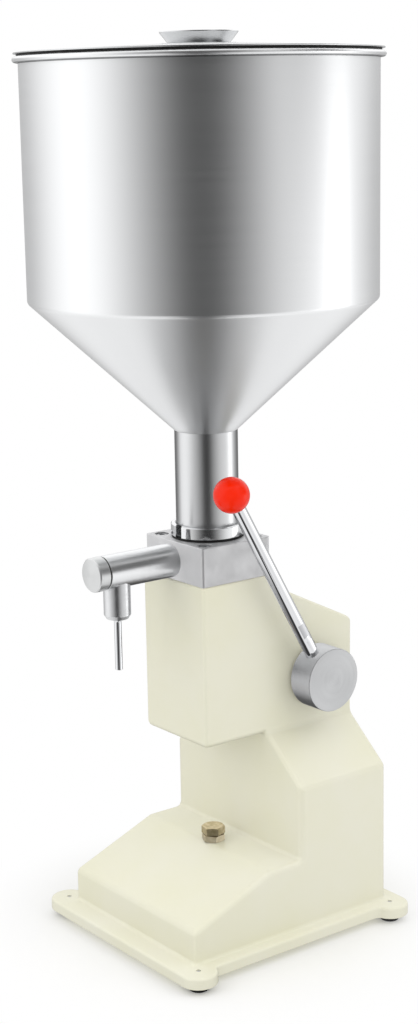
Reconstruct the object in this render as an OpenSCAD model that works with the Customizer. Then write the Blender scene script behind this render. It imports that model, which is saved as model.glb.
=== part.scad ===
// Hand lever filling machine for cream and jam: a hopper over a valve block, a pump in the head of a
// cast stand, and a lever that draws the piston down and pushes it back up.
// The origin is on the surface that the feet stand on, below the pump's axis. +Z is up, the nozzle
// is on the -Y side and the lever is on the +X side.

/* [Stand] */
// Width of the wedge and the column
base_w = 174; // [160:1:200]
// Front of the wedge ahead of the pump's axis
base_front = 87; // [80:1:100]
// Back of the casting behind the pump's axis
base_rear = 124; // [118:1:140]
// Thickness of the corner flange
flange_t = 10; // [8:0.5:14]
// How far the flange stands out at the sides, between its lobes
flange_out = 11; // [9:0.5:16]
// Foot holes beyond the sides of the base
foot_out = 8; // [6:0.5:10]
// Front foot holes ahead of the wedge's front face
foot_ahead = 3; // [0:0.5:6]
// Rear foot holes ahead of the casting's back face
foot_inset = 3; // [0:0.5:6]
// Radius of the flange's corner lobes
lobe_r = 16; // [13:0.5:20]
// Height of the wedge's front face above the flange
lip_h = 29; // [20:1:40]
// Height of the platform above the flange
platform_h = 60; // [50:1:75]
// Front edge of the platform ahead of the pump's axis
platform_out = 7; // [4:0.5:15]
// Front of the column behind the pump's axis
column_back = 27; // [22:1:34]
// Height above the flange where the column's sides start to slope in
shoulder_h = 124; // [105:1:132]
// Wall of the casting
casting_wall = 7; // [5:0.5:8]

/* [Head] */
// Width of the head
head_w = 84; // [82:1:96]
// Ledge of the head in front of the valve block
head_ledge = 2; // [0:0.5:4]
// Free height between the platform and the head
head_gap = 102; // [90:1:120]
// Height of the head
head_h = 138; // [132:1:150]
// Drop of the head's top just behind the valve block
step_drop = 9; // [6:1:14]
// Further drop of the sloped top down to the back
slope_drop = 44; // [30:1:52]
// Thickness of the head's roof under the valve block
roof_t = 10; // [9:0.5:12]

/* [Feet] */
// Height of a rubber foot
foot_h = 6; // [5:0.5:10]
// Diameter of a rubber foot
foot_d = 18; // [14:0.5:24]
// Diameter of a foot screw
foot_screw_d = 4; // [3:0.5:5]

/* [Valve block] */
// Width of the block
block_w = 79; // [76:1:82]
// Depth of the block, its middle on the pump's axis
block_d = 72; // [70:1:80]
// Height of the block
block_h = 33; // [32:0.5:36]
// Diameter of the block's screws
block_screw_d = 6; // [5:0.5:7]
// Distance of the block's screws from its sides
screw_in_x = 9.5; // [8:0.5:12]
// Distance of the block's screws from its front and back
screw_in_y = 10; // [8:0.5:12]

/* [Hopper] */
// Diameter of the neck tube
neck_d = 53; // [48:0.5:54]
// Length of the neck that shows above the ring nut
neck_len = 78.5; // [50:0.5:100]
// Sheet thickness of the hopper
sheet = 1.5; // [1:0.1:2]
// Diameter of the bowl
bowl_d = 288; // [250:1:320]
// Height of the bowl's straight part up to the top of its rim
bowl_h = 194.5; // [150:0.5:240]
// Height of the cone
cone_h = 108.5; // [90:0.5:130]
// Diameter of the rolled rim's bead
bead_d = 5; // [4.5:0.25:8]
// Outer diameter of the slotted ring nut
ring_d = 62; // [58:0.5:66]
// Height of the ring nut
ring_h = 10.7; // [8:0.1:14]
// Thickness of the gasket under the ring nut
neck_gasket_t = 1.3; // [0.8:0.1:2]

/* [Lid] */
// How far the lid reaches past the bowl's wall
lid_out = 4; // [2:0.25:5]
// Thickness of the lid's sheet
lid_t = 1.2; // [1:0.1:2]
// Rise of the lid from its edge to its middle
lid_rise = 5.5; // [2:0.25:10]
// Thickness of the lid's seal
lid_seal_t = 1.8; // [1.2:0.1:3]
// Top diameter of the knob
knob_top_d = 63.5; // [50:0.5:80]
// Bottom diameter of the knob
knob_foot_d = 50.5; // [40:0.5:60]
// Height of the knob
knob_h = 9; // [7:0.5:20]

/* [Outlet] */
// Diameter of the outlet tube
outlet_d = 28.5; // [27:0.25:30]
// Reach of the end cap's face from the pump's axis
outlet_reach = 116.5; // [110:0.5:140]
// Distance of the outlet's axis from the middle of the block, towards the side away from the lever
outlet_shift = 5; // [0:0.5:6]
// Height of the outlet's axis above the block's foot
outlet_rise = 16; // [15.5:0.25:17]
// Length of the end cap
cap_len = 10.8; // [8:0.1:14]
// Thickness of the O-ring between tube and cap
cap_ring_t = 1.2; // [0.8:0.1:2]
// Distance of the nozzle's axis behind the end cap's face
nozzle_setback = 25.5; // [25:0.5:34]
// Diameter of the nozzle holder
holder_d = 22.5; // [20:0.5:25]
// Depth of the nozzle holder's foot below the outlet's axis
holder_drop = 40; // [34:0.5:50]
// Diameter of the nozzle tube
nozzle_d = 6.2; // [5:0.1:10]
// Bore of the nozzle tube
nozzle_bore = 4.4; // [3:0.1:4.6]
// Length of the nozzle that shows below its holder
nozzle_len = 44; // [30:1:70]

/* [Lever] */
// Distance of the lever shaft behind the pump's axis
shaft_back = 78.5; // [76:0.5:84]
// Height of the lever shaft above the head's underside
shaft_rise = 43.5; // [40:0.5:50]
// Diameter of the lever shaft
shaft_d = 20; // [16:0.5:22]
// Diameter of the lever hub
hub_d = 55; // [50:0.5:62]
// Thickness of the lever hub
hub_t = 24; // [20:0.5:30]
// Distance of the ball's centre from the shaft's axis
lever_reach = 199; // [160:1:240]
// Forward lean of the lever at rest, in degrees from upright
lever_lean = 29.5; // [15:0.5:35]
// Diameter of the lever rod
lever_rod_d = 12; // [11:0.5:14]
// Diameter of the lever's ball
ball_d = 30; // [25:0.5:32]

/* [Pump] */
// Bore of the pump cylinder
bore_d = 38; // [36:0.5:39]
// Stroke of the piston
stroke = 44; // [30:1:46]
// Wall of the pump cylinder
cylinder_wall = 4; // [3:0.5:4.5]
// Diameter of the piston rod
piston_rod_d = 16; // [14:0.5:17]
// Diameter of the cross pin
cross_pin_d = 8; // [6:0.5:8]
// Thickness of each cheek of the drive arm
cheek_t = 6; // [5:0.5:8]

/* [Stroke adjuster] */
// Thread diameter of the adjusting bolt
bolt_d = 12; // [10:1:14]
// Width across the flats of the bolt and its nut
bolt_af = 18; // [17:1:22]
// Height of the bolt's head
bolt_head_h = 6.5; // [6:0.5:9]
// Height of the lock nut
nut_h = 6; // [5:0.5:8]
// Length of the bolt below its head
bolt_len = 66; // [58:1:68]

/* [Rear cover] */
// Width of the rear cover
cover_w = 68; // [60:1:72]
// Height of the rear cover
cover_h = 100; // [90:1:102]
// Thickness of the rear cover
cover_t = 3; // [2:0.5:4]

/* [Hidden] */
$fn = 72;

// Clearances
fit = 0.05;      // radial gap of a running fit and of a screw in its hole
gap = 0.3;       // gap between pieces that only pass each other
over = 1;        // overrun of a cut past the face it opens
seat_gap = 0.1;  // gap of a valve ball over its seat

// Heights of the stand
flange_z = foot_h + flange_t;
lip_z = flange_z + lip_h;
platform_z = flange_z + platform_h;
shoulder_z = flange_z + shoulder_h;
head_z = platform_z + head_gap;
top_z = head_z + head_h;
step_z = top_z - step_drop;
rear_top_z = step_z - slope_drop;
block_front = block_d / 2;
head_front = block_front + head_ledge;
block_top_z = top_z + block_h;

// Edge radii of the casting
soft_r = 6;        // outer corners of the stand and the head
crease_r = 10;     // the crease of the platform
inner_r = 3;       // inner corners where faces meet
lobe_neck_r = 5;   // where a lobe runs into the flange's side
corner_steps = 6;  // flats that make up a rounded corner
lobe_steps = 14;   // flats round a lobe of the flange

// Slopes of the casting
side_slope = (head_z - shoulder_z) / ((base_w - head_w) / 2);
side_skin = casting_wall * sqrt(1 + side_slope ^ 2);
top_slope = slope_drop / (base_rear - block_front);
top_skin = casting_wall * sqrt(1 + top_slope ^ 2);

// Flange and foot screws
flange_x = base_w / 2 + flange_out;
foot_x = base_w / 2 + foot_out;
foot_front = base_front + foot_ahead;
foot_rear = base_rear - foot_inset;
foot_places = [for (x = [-foot_x, foot_x], y = [-foot_front, foot_rear]) [x, y]];
foot_head_d = 7.6;
foot_head_h = 2.4;
foot_screw_short = 1; // head above the floor, and end below the flange's top
foot_bevel = 1;
foot_bevel_h = 2;

// Lever shaft
shaft_z = head_z + shaft_rise;
shaft_r = shaft_d / 2;
bush_wall = 4;
bush_flange_wall = 8;
bush_flange_t = 3;
bush_boss = 6;     // length of the boss inside each side wall
bush_boss_wall = 6; // wall of that boss round the bush
side_x = head_w / 2;
bush_in_x = side_x - casting_wall - bush_boss;
hub_gap = 1;
hub_x = side_x + bush_flange_t + hub_gap;
hub_skin = 5.8;    // metal left between the shaft's end and the hub's face
ring_groove_t = 1.2;
ring_groove_depth = 0.8;
ring_wall = 2.8;
shaft_tail = 3;    // shaft beyond its retaining ring
shaft_left_x = -side_x - bush_flange_t - gap - ring_groove_t - shaft_tail;
shaft_right_x = hub_x + hub_t - hub_skin;
lever_x = hub_x + hub_t / 2;

// Pump
bore_r = bore_d / 2;
cylinder_r = bore_r + cylinder_wall;
cylinder_flange_wall = 6;
cylinder_flange_t = 5;
cylinder_gasket_t = 1;
cylinder_top_z = top_z - cylinder_gasket_t;
crown_gap = 1;     // piston crown below the cylinder's top at rest
crown_z = cylinder_top_z - crown_gap;
piston_len = 18;
seal_t = 3;
seal_depth = 2.6;
seal_land = 3;     // metal above, between and below the seals
piston_gap = 0.1;  // radial gap of the piston, less than that of its seals
seal_in = 1;       // how far the lower seal stays inside the cylinder at full stroke
cylinder_z = crown_z - stroke - 2 * (seal_land + seal_t) - seal_in;
rod_r = piston_rod_d / 2;
rod_stud_d = 12;
rod_stud_len = 10;
rod_end_in = 2;    // rod's end above the head's underside at rest
rod_end_z = head_z + rod_end_in;
piston_foot_z = crown_z - piston_len;

// Drive arm: a forked arm whose slots carry the cross pin
pin_r = cross_pin_d / 2;
slot_gap = 0.6;    // room for the pin across the slot
slot_wall = 3.4;
cheek_half = pin_r + slot_gap + slot_wall;
cheek_gap = 1.5;   // cheek's clearance from the rod
cheek_drop = 2.5;  // cheek below the cylinder at rest
pin_z = cylinder_z - cheek_drop - cheek_half;
pin_rise = pin_z - shaft_z;
arm_lean = atan(pin_rise / shaft_back);
arm_low = atan((stroke - pin_rise) / shaft_back);
slot_out = shaft_back / cos(max(arm_lean, arm_low));
slot_room = 2.5;
cheek_x = rod_r + cheek_gap;
arm_hub_wall = 8;
arm_hub_r = shaft_r + arm_hub_wall;
arm_half_w = cheek_x + cheek_t;
web_reach = 12;    // the web between the cheeks, beyond the arm's hub
web_taper = 2;     // how much higher the arm is at the web than at the pin
arm_root_share = 0.8;
pin_tail = 2.6;    // pin beyond each cheek
clip_t = 1;
clip_groove = 0.6;
clip_wall = 2.5;
arm_screw_d = 6;
arm_screw_proud = 2;
set_socket_share = 0.58; // hexagon socket's corner radius as a share of the screw's
cap_socket_share = 0.96;
button_socket_share = 0.72;
pin_half = arm_half_w + pin_tail;

// Guide bush of the piston rod
guide_wall = 4;
guide_boss_wall = 4;
guide_up = 3;      // guide boss above the head's floor
guide_in = 0.5;    // bush's lower end above the head's underside

// Valve block
socket_depth = 10;
seat_plate = 5;
funnel_depth = 2;
funnel_wall = 6.5; // ledge of the socket left outside the funnel
chamber_r = 16;
cage_wall = 4;
cage_t = 1.5;
cage_holes = 3;
cage_hole_d = 7;
cage_hole_out = 10;
inlet_ball_d = 16;
inlet_seat_d = 13;
socket_z = block_top_z - socket_depth;
chamber_top_z = socket_z - seat_plate;
inlet_ball_z = chamber_top_z - sqrt((inlet_ball_d / 2) ^ 2 - (inlet_seat_d / 2) ^ 2) - seat_gap;
cbore_gap = 1.1;
cbore_depth = 7;
block_screw_head_d = 9.8;
cbore_d = block_screw_head_d + 2 * cbore_gap;
screw_x = block_w / 2 - screw_in_x;
screw_y = block_d / 2 - screw_in_y;
block_bevel = 0.8;
block_corner_r = 4;

// Outlet
outlet_z = top_z + outlet_rise;
outlet_r = outlet_d / 2;
spigot_wall = 2.2; // step from the tube to its spigot
spigot_len = 9.8;
spigot_gap = 0.2;
bore_wall = 4.2;
outlet_bore_r = outlet_r - bore_wall;
outlet_seat_d = 9;
outlet_ball_d = 14;
outlet_seat_y = -block_front + spigot_len + spigot_gap;
outlet_ball_y = outlet_seat_y - sqrt((outlet_ball_d / 2) ^ 2 - (outlet_seat_d / 2) ^ 2) - seat_gap;
channel_in = 13;   // inner end of the outlet's channel ahead of the pump's axis
tube_end_y = -outlet_reach + cap_len + cap_ring_t;
cap_spigot_len = 5;
cap_bevel = 1;
cap_dome = 0.8;
cap_dome_steps = 6;
cap_ring_inset = 0.7;
cap_pilot_len = 3; // pilot that centres the spring's end
branch_d = 15;
holder_bore_d = 11;
holder_bevel = 3.4;
holder_bevel_in = 2.2;
nozzle_out = outlet_reach - nozzle_setback;
nozzle_in = 18;    // nozzle inside its holder
nozzle_thread = 0.9; // how far its thread stands out past the tube
nozzle_collar = 1.2; // how far its collar stands out past the tube
nozzle_collar_h = 2.5;
nozzle_root_r = nozzle_d / 2 + nozzle_thread;

// Springs
inlet_wire_d = 0.8;
inlet_turns = 3;
outlet_wire_d = 1.2;
outlet_turns = 11;
ring_share = 0.6;  // radius of the coil that a ball rests in, as a share of the ball's
wire_sides = 6;
turn_steps = 14;

// Hopper
neck_r = neck_d / 2;
ring_z = block_top_z + neck_gasket_t;
ring_top_z = ring_z + ring_h;
cone_z = ring_top_z + neck_len;
bowl_z = cone_z + cone_h;
rim_z = bowl_z + bowl_h;
bowl_r = bowl_d / 2;
bead_r = bead_d / 2;
rim_web_t = 2;
bead_steps = 16;
cone_slant = sqrt((bowl_r - neck_r) ^ 2 + cone_h ^ 2);
cone_skin = sheet * cone_slant / (bowl_r - neck_r); // the cone's sheet, measured upright
ring_slot_w = 8;
ring_slot_depth = 3.5;
ring_slots = 2;
ring_bevel = 1;

// Lid
lid_z = rim_z + lid_seal_t;
lid_r = bowl_r + lid_out;
lid_seal_w = 4.4;
skirt_gap = 1.5;   // between the lid's skirt and the bowl
skirt_r = bowl_r - sheet - skirt_gap;
skirt_len = 9;
knob_z = lid_z + lid_t + lid_rise;
knob_dish = 1.5;
knob_rim = 3;
knob_screw_d = 5;
knob_screw_in = 5;
knob_screw_head_d = 9;
knob_screw_head_h = 2.5;

// Lever
lever_r = lever_rod_d / 2;
hub_r = hub_d / 2;
hub_bevel = 0.8;
stud_d = 10;
stud_in = 3;       // metal between the shaft and the lever's stud
rod_sink = 2.5;    // lever rod let into the hub
set_screw_d = 6;
flat_af = 10;
flat_up = 20;      // wrench flats above the hub
flat_len = 14;
flat_cutter_r = 21; // radius of the cutter that runs out of a flat at its lower end
ball_sink = 3;
ball_stud_in = 4;  // stud beyond the ball's centre

// Adjuster
bolt_boss_wall = 7;
bolt_boss_len = 12;
bolt_lift = 0.7;   // gap between lock nut and bolt head
bolt_turn = -12;   // how the bolt's hexagon is turned, seen from above
nut_turn = -25;
chamfer_share = 0.12;
// How far the cones of a hexagon run on beyond its corners
cone_reach_share = 1.2; // [1.1:0.05:1.4]
bolt_head_z = platform_z + nut_h + bolt_lift;

// Rear cover
cover_mid_z = (shoulder_z + rear_top_z) / 2;
cover_screw_d = 4;
cover_screw_in = 6;
cover_lap = 12;
cover_corner_r = 5;
cover_screw_head_d = 7.4;
cover_screw_head_h = 2.6;

// Colours
cream = [0.90, 0.90, 0.82];
steel = [0.78, 0.79, 0.80];
bright = [0.86, 0.87, 0.88];
satin = [0.70, 0.71, 0.72];
black = [0.07, 0.07, 0.07];
red = [0.93, 0.16, 0.07];
brass = [0.72, 0.66, 0.50];

// Plane geometry

function unit(v) = v / norm(v);

// Points of a rounded corner p between its neighbours a and b
function corner(a, p, b, r) =
    let (
        u = unit(a - p),
        v = unit(b - p),
        half = acos(max(-1, min(1, u * v))) / 2,
        centre = p + unit(u + v) * r / sin(half),
        from = p + u * r / tan(half) - centre,
        to = p + v * r / tan(half) - centre,
        start = atan2(from[1], from[0]),
        turn = atan2(from[0] * to[1] - from[1] * to[0], from * to)
    )
    [for (i = [0:corner_steps]) centre + r * [cos(start + turn * i / corner_steps),
        sin(start + turn * i / corner_steps)]];

// An outline whose points are [x, y, corner radius]
function rounded(p) = [for (i = [0:len(p) - 1])
    let (
        a = p[(i + len(p) - 1) % len(p)],
        b = p[(i + 1) % len(p)],
        c = p[i]
    )
    each c[2] > 0 ? corner([a[0], a[1]], [c[0], c[1]], [b[0], b[1]], c[2]) : [[c[0], c[1]]]];

function backwards(p) = [for (i = [len(p) - 1:-1:0]) p[i]];

// Adds the left half to the right half of an outline, which is listed from the bottom up
function both_sides(p) = concat(p, [for (q = backwards(p)) [-q[0], q[1], q[2]]]);

// Shapes that several sub-parts use

// A prism of an outline in the YZ plane, half wide to each side
module side_prism(points, half) {
    rotate([90, 0, 90])
        translate([0, 0, -half])
            linear_extrude(2 * half)
                polygon(points);
}

// A prism of an outline in the XZ plane, from y0 to y1
module front_prism(points, y0, y1) {
    translate([0, y1, 0])
        rotate([90, 0, 0])
            linear_extrude(y1 - y0)
                polygon(points);
}

// A cylinder along X from x0 to x1
module x_cylinder(r, x0, x1) {
    translate([x0, 0, 0])
        rotate([0, 90, 0])
            cylinder(h = x1 - x0, r = r);
}

// A cylinder along Y from y0 to y1
module y_cylinder(r, y0, y1) {
    translate([0, y1, 0])
        rotate([90, 0, 0])
            cylinder(h = y1 - y0, r = r);
}

module z_cylinder(r, z0, z1) {
    translate([0, 0, z0])
        cylinder(h = z1 - z0, r = r);
}

module z_ring(r_out, r_in, z0, z1) {
    difference() {
        z_cylinder(r_out, z0, z1);
        z_cylinder(r_in, z0 - over, z1 + over);
    }
}

// A hexagon socket cut down into a screw's end at the origin
module socket(screw_d, depth, share) {
    translate([0, 0, -depth])
        cylinder(h = depth + over, r = screw_d / 2 * share, $fn = 6);
}

// Places children on the shaft's axis
module at_shaft() {
    translate([0, shaft_back, shaft_z])
        children();
}

// Places children on the outlet's axis
module at_outlet() {
    translate([-outlet_shift, 0, outlet_z])
        children();
}

// Places children where the nozzle's axis meets the outlet's axis
module at_nozzle() {
    at_outlet()
        translate([0, -nozzle_out, 0])
            children();
}

// Places children on the lever's own line, whose local Z runs from the shaft to the ball
module at_lever() {
    translate([lever_x, shaft_back, shaft_z])
        rotate([lever_lean, 0, 0])
            children();
}

// Places children on the drive arm's line, whose local -Y runs from the shaft to the cross pin
module at_arm() {
    at_shaft()
        rotate([-arm_lean, 0, 0])
            children();
}

module at_block_screws() {
    for (x = [-screw_x, screw_x], y = [-screw_y, screw_y])
        translate([x, y, 0])
            children();
}

module at_cover_screws() {
    reach_x = cover_w / 2 - cover_screw_in;
    reach_z = cover_h / 2 - cover_screw_in;
    for (x = [-reach_x, reach_x], z = [cover_mid_z - reach_z, cover_mid_z + reach_z])
        translate([x, 0, z])
            children();
}

// A tube of round wire along a list of points, its rings square to the path
module wire(path, r) {
    last = len(path) - 1;
    rings = [for (i = [0:last])
        let (
            ahead = unit(path[min(i + 1, last)] - path[max(i - 1, 0)]),
            side = unit(cross(ahead, [0, 0, 1])),
            up = cross(side, ahead)
        )
        for (k = [0:wire_sides - 1])
            let (a = 360 * k / wire_sides)
            path[i] + r * (cos(a) * side + sin(a) * up)];
    walls = [for (i = [0:last - 1], k = [0:wire_sides - 1])
        let (n = (k + 1) % wire_sides, low = i * wire_sides, high = low + wire_sides)
        each [[low + k, high + k, high + n], [low + k, high + n, low + n]]];
    foot = [for (k = [1:wire_sides - 2]) [0, k, k + 1]];
    tip = [for (k = [1:wire_sides - 2])
        let (base = last * wire_sides)
        [base, base + k + 1, base + k]];
    polyhedron(points = rings, faces = concat(walls, foot, tip));
}

// A coil spring from r0 at z0 to r1 at z1, measured to the middle of its wire
function coil_path(r0, r1, z0, z1, turns) =
    let (steps = turns * turn_steps)
    [for (i = [0:steps])
        let (s = i / steps, a = 360 * turns * s, r = r0 + (r1 - r0) * s)
        [r * cos(a), r * sin(a), z0 + (z1 - z0) * s]];

// Stand

side_outline = rounded([
    [-base_front, foot_h, 0],
    [-base_front, lip_z, soft_r],
    [-platform_out, platform_z, crease_r],
    [column_back, platform_z, inner_r],
    [column_back, head_z, 0],
    [-head_front, head_z, soft_r],
    [-head_front, top_z, 0],
    [block_front, top_z, 0],
    [block_front, step_z, inner_r],
    [base_rear, rear_top_z, soft_r],
    [base_rear, foot_h, 0]]);

front_outline = rounded(both_sides([
    [base_w / 2, foot_h, 0],
    [base_w / 2, shoulder_z, soft_r],
    [head_w / 2, head_z, 0],
    [head_w / 2, top_z, 0]]));

hollow_side = [
    [-base_front + casting_wall, foot_h - over],
    [-base_front + casting_wall, lip_z - casting_wall],
    [-platform_out, platform_z - casting_wall],
    [column_back + casting_wall, platform_z - casting_wall],
    [column_back + casting_wall, head_z + casting_wall],
    [-head_front + casting_wall, head_z + casting_wall],
    [-head_front + casting_wall, top_z - roof_t],
    [block_front - casting_wall, top_z - roof_t],
    [block_front, step_z - top_skin],
    [base_rear - casting_wall, rear_top_z + casting_wall * top_slope - top_skin],
    [base_rear - casting_wall, foot_h - over]];

hollow_half = base_w / 2 - casting_wall;
hollow_head_half = head_w / 2 - casting_wall;
hollow_front = [for (p = both_sides([
    [hollow_half, foot_h - over, 0],
    [hollow_half, shoulder_z + casting_wall * side_slope - side_skin, 0],
    [hollow_head_half, head_z + casting_wall * side_slope - side_skin, 0],
    [hollow_head_half, top_z, 0]])) [p[0], p[1]]];

// The outline of a lobe at y, from the flange's end round to its side, where a fillet meets it
function lobe(y, inward) =
    let (
        x = flange_x + lobe_neck_r,
        rise = sqrt((lobe_r + lobe_neck_r) ^ 2 - (x - foot_x) ^ 2),
        lean = atan2(rise, x - foot_x)
    )
    concat(
        [for (i = [0:lobe_steps])
            let (a = (lean + 90) * i / lobe_steps - 90)
            [foot_x + lobe_r * cos(a), y + inward * lobe_r * sin(a)]],
        [for (i = [1:corner_steps])
            let (a = 180 + lean * (1 - i / corner_steps))
            [x + lobe_neck_r * cos(a), y + inward * (rise + lobe_neck_r * sin(a))]]);

module flange_plate() {
    right = concat(lobe(-foot_front, 1), backwards(lobe(foot_rear, -1)));
    left = [for (p = backwards(right)) [-p[0], p[1]]];
    translate([0, 0, foot_h])
        linear_extrude(flange_t)
            polygon(concat(right, left));
}

module casting_shell() {
    flange_plate();
    intersection() {
        side_prism(side_outline, base_w / 2);
        front_prism(front_outline, -base_front, base_rear);
    }
}

module casting_hollow() {
    intersection() {
        side_prism(hollow_side, hollow_half);
        front_prism(hollow_front, -base_front, base_rear);
    }
}

// Bosses inside the hollow for the shaft's bushes, the guide bush and the adjusting bolt
module casting_bosses() {
    at_shaft()
        for (side = [0, 1])
            mirror([side, 0, 0])
                x_cylinder(shaft_r + bush_wall + bush_boss_wall, bush_in_x, side_x - casting_wall / 2);
    z_cylinder(rod_r + guide_wall + guide_boss_wall, head_z + casting_wall / 2,
        head_z + casting_wall + guide_up);
    z_cylinder(bolt_d / 2 + bolt_boss_wall, platform_z - casting_wall - bolt_boss_len,
        platform_z - casting_wall / 2);
}

// The outline of the rear cover, drawn in by a margin
function cover_outline(margin) = rounded([for (s = [[-1, -1], [1, -1], [1, 1], [-1, 1]])
    [s[0] * (cover_w / 2 - margin), cover_mid_z + s[1] * (cover_h / 2 - margin), cover_corner_r]]);

module casting_cuts() {
    at_shaft()
        x_cylinder(shaft_r + bush_wall + fit, -side_x - over, side_x + over);
    z_cylinder(rod_r + guide_wall + fit, head_z - over, head_z + casting_wall + guide_up + over);
    z_cylinder(bolt_d / 2 + fit, platform_z - casting_wall - bolt_boss_len - over, platform_z + over);
    z_cylinder(cylinder_r + gap, top_z - roof_t - over, top_z);
    z_cylinder(cylinder_r + cylinder_flange_wall + gap,
        cylinder_top_z - cylinder_flange_t, top_z + over);
    at_block_screws()
        z_cylinder(block_screw_d / 2 + fit, top_z - roof_t - over, top_z + over);
    for (p = foot_places)
        translate(p)
            z_cylinder(foot_screw_d / 2 + fit, foot_h - over, flange_z + over);
    front_prism(cover_outline(cover_lap), base_rear - casting_wall - over, base_rear + over);
    at_cover_screws()
        y_cylinder(cover_screw_d / 2 + fit, base_rear - casting_wall - over, base_rear + over);
}

module body_casting() {
    color(cream)
        difference() {
            union() {
                difference() {
                    casting_shell();
                    casting_hollow();
                }
                casting_bosses();
            }
            casting_cuts();
        }
}

module rear_cover() {
    color(cream)
        difference() {
            front_prism(cover_outline(0), base_rear, base_rear + cover_t);
            at_cover_screws()
                y_cylinder(cover_screw_d / 2 + fit, base_rear - over, base_rear + cover_t + over);
        }
}

module rear_cover_screws() {
    head_y = base_rear + cover_t;
    color(steel)
        at_cover_screws()
            difference() {
                union() {
                    y_cylinder(cover_screw_d / 2, base_rear - casting_wall, head_y + over);
                    y_cylinder(cover_screw_head_d / 2, head_y, head_y + cover_screw_head_h);
                }
                translate([0, head_y + cover_screw_head_h, 0])
                    rotate([-90, 0, 0])
                        socket(cover_screw_d, cover_screw_head_h / 2, button_socket_share);
            }
}

module foot(x, y) {
    color(black)
        translate([x, y, 0])
            difference() {
                rotate_extrude()
                    polygon([
                        [0, 0],
                        [foot_d / 2 - foot_bevel, 0],
                        [foot_d / 2, foot_bevel_h],
                        [foot_d / 2, foot_h],
                        [0, foot_h]]);
                z_cylinder(foot_screw_d / 2 + fit, -over, foot_h + over);
                z_cylinder(foot_head_d / 2 + fit, -over, foot_head_h + foot_screw_short);
            }
}

module foot_front_left() foot(-foot_x, -foot_front);
module foot_front_right() foot(foot_x, -foot_front);
module foot_rear_left() foot(-foot_x, foot_rear);
module foot_rear_right() foot(foot_x, foot_rear);

module foot_screws() {
    color(steel)
        for (p = foot_places)
            translate(p) {
                z_cylinder(foot_head_d / 2, foot_screw_short, foot_screw_short + foot_head_h);
                z_cylinder(foot_screw_d / 2, foot_screw_short, flange_z - foot_screw_short);
            }
}

// Stroke adjuster

// A hexagon across the flats, turned about its axis, whose corners are turned off by cones on the chosen ends
module chamfered_hex(af, z0, z1, low_cone, high_cone, turn) {
    corner_r = af / sqrt(3);
    wide_r = af / 2 + (corner_r - af / 2) * cone_reach_share;
    drop = corner_r * chamfer_share * cone_reach_share;
    intersection() {
        translate([0, 0, z0])
            rotate([0, 0, turn])
                cylinder(h = z1 - z0, r = corner_r, $fn = 6);
        rotate_extrude()
            polygon([
                [0, z0],
                [low_cone ? af / 2 : wide_r, z0],
                [wide_r, low_cone ? z0 + drop : z0],
                [wide_r, high_cone ? z1 - drop : z1],
                [high_cone ? af / 2 : wide_r, z1],
                [0, z1]]);
    }
}

module adjusting_bolt() {
    color(brass)
        union() {
            chamfered_hex(bolt_af, bolt_head_z, bolt_head_z + bolt_head_h, false, true, bolt_turn);
            z_cylinder(bolt_d / 2, bolt_head_z - bolt_len, bolt_head_z + bolt_head_h / 2);
        }
}

module lock_nut() {
    color(brass)
        difference() {
            chamfered_hex(bolt_af, platform_z, platform_z + nut_h, true, true, nut_turn);
            z_cylinder(bolt_d / 2 + fit, platform_z - over, platform_z + nut_h + over);
        }
}

// Valve block

// A box with bevelled upper edges, made of two crossed prisms
module block_body() {
    wide = rounded(both_sides([
        [block_w / 2, top_z, 0],
        [block_w / 2, block_top_z - block_bevel, 0],
        [block_w / 2 - block_bevel, block_top_z, 0]]));
    deep = rounded(both_sides([
        [block_d / 2, top_z, 0],
        [block_d / 2, block_top_z - block_bevel, 0],
        [block_d / 2 - block_bevel, block_top_z, 0]]));
    intersection() {
        front_prism(wide, -block_d / 2, block_d / 2);
        side_prism(deep, block_w / 2);
        translate([0, 0, top_z])
            linear_extrude(block_h)
                polygon(rounded([
                    [-block_w / 2, -block_d / 2, block_bevel],
                    [block_w / 2, -block_d / 2, block_bevel],
                    [block_w / 2, block_d / 2, block_corner_r],
                    [-block_w / 2, block_d / 2, block_corner_r]]));
    }
}

module valve_block() {
    color(satin)
        difference() {
            block_body();
            z_cylinder(neck_r + fit, socket_z, block_top_z + over);
            translate([0, 0, socket_z - funnel_depth])
                cylinder(h = funnel_depth, r1 = inlet_seat_d / 2, r2 = neck_r - funnel_wall);
            z_cylinder(inlet_seat_d / 2, chamber_top_z - over, socket_z);
            z_cylinder(chamber_r, top_z - over, chamber_top_z);
            z_cylinder(chamber_r + cage_wall, top_z - over, top_z + cage_t);
            at_outlet() {
                y_cylinder(outlet_r - spigot_wall + fit, -block_front - over, outlet_seat_y);
                y_cylinder(outlet_seat_d / 2, outlet_seat_y - over, -channel_in);
            }
            at_block_screws() {
                z_cylinder(block_screw_d / 2 + fit, top_z - over, block_top_z + over);
                z_cylinder(cbore_d / 2, block_top_z - cbore_depth, block_top_z + over);
            }
        }
}

module block_screws() {
    head_z0 = block_top_z - cbore_depth;
    head_z1 = head_z0 + block_screw_d;
    color(steel)
        at_block_screws()
            difference() {
                union() {
                    z_cylinder(block_screw_head_d / 2, head_z0, head_z1);
                    z_cylinder(block_screw_d / 2, top_z - roof_t, head_z1);
                }
                translate([0, 0, head_z1])
                    socket(block_screw_d, block_screw_d / 2, cap_socket_share);
            }
}

module spring_cage() {
    color(steel)
        difference() {
            z_cylinder(chamber_r + cage_wall - fit, top_z, top_z + cage_t);
            for (i = [0:cage_holes - 1])
                rotate([0, 0, 360 * i / cage_holes])
                    translate([cage_hole_out, 0, 0])
                        z_cylinder(cage_hole_d / 2, top_z - over, top_z + cage_t + over);
        }
}

module inlet_valve_ball() {
    color(bright)
        translate([0, 0, inlet_ball_z])
            sphere(d = inlet_ball_d);
}

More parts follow.
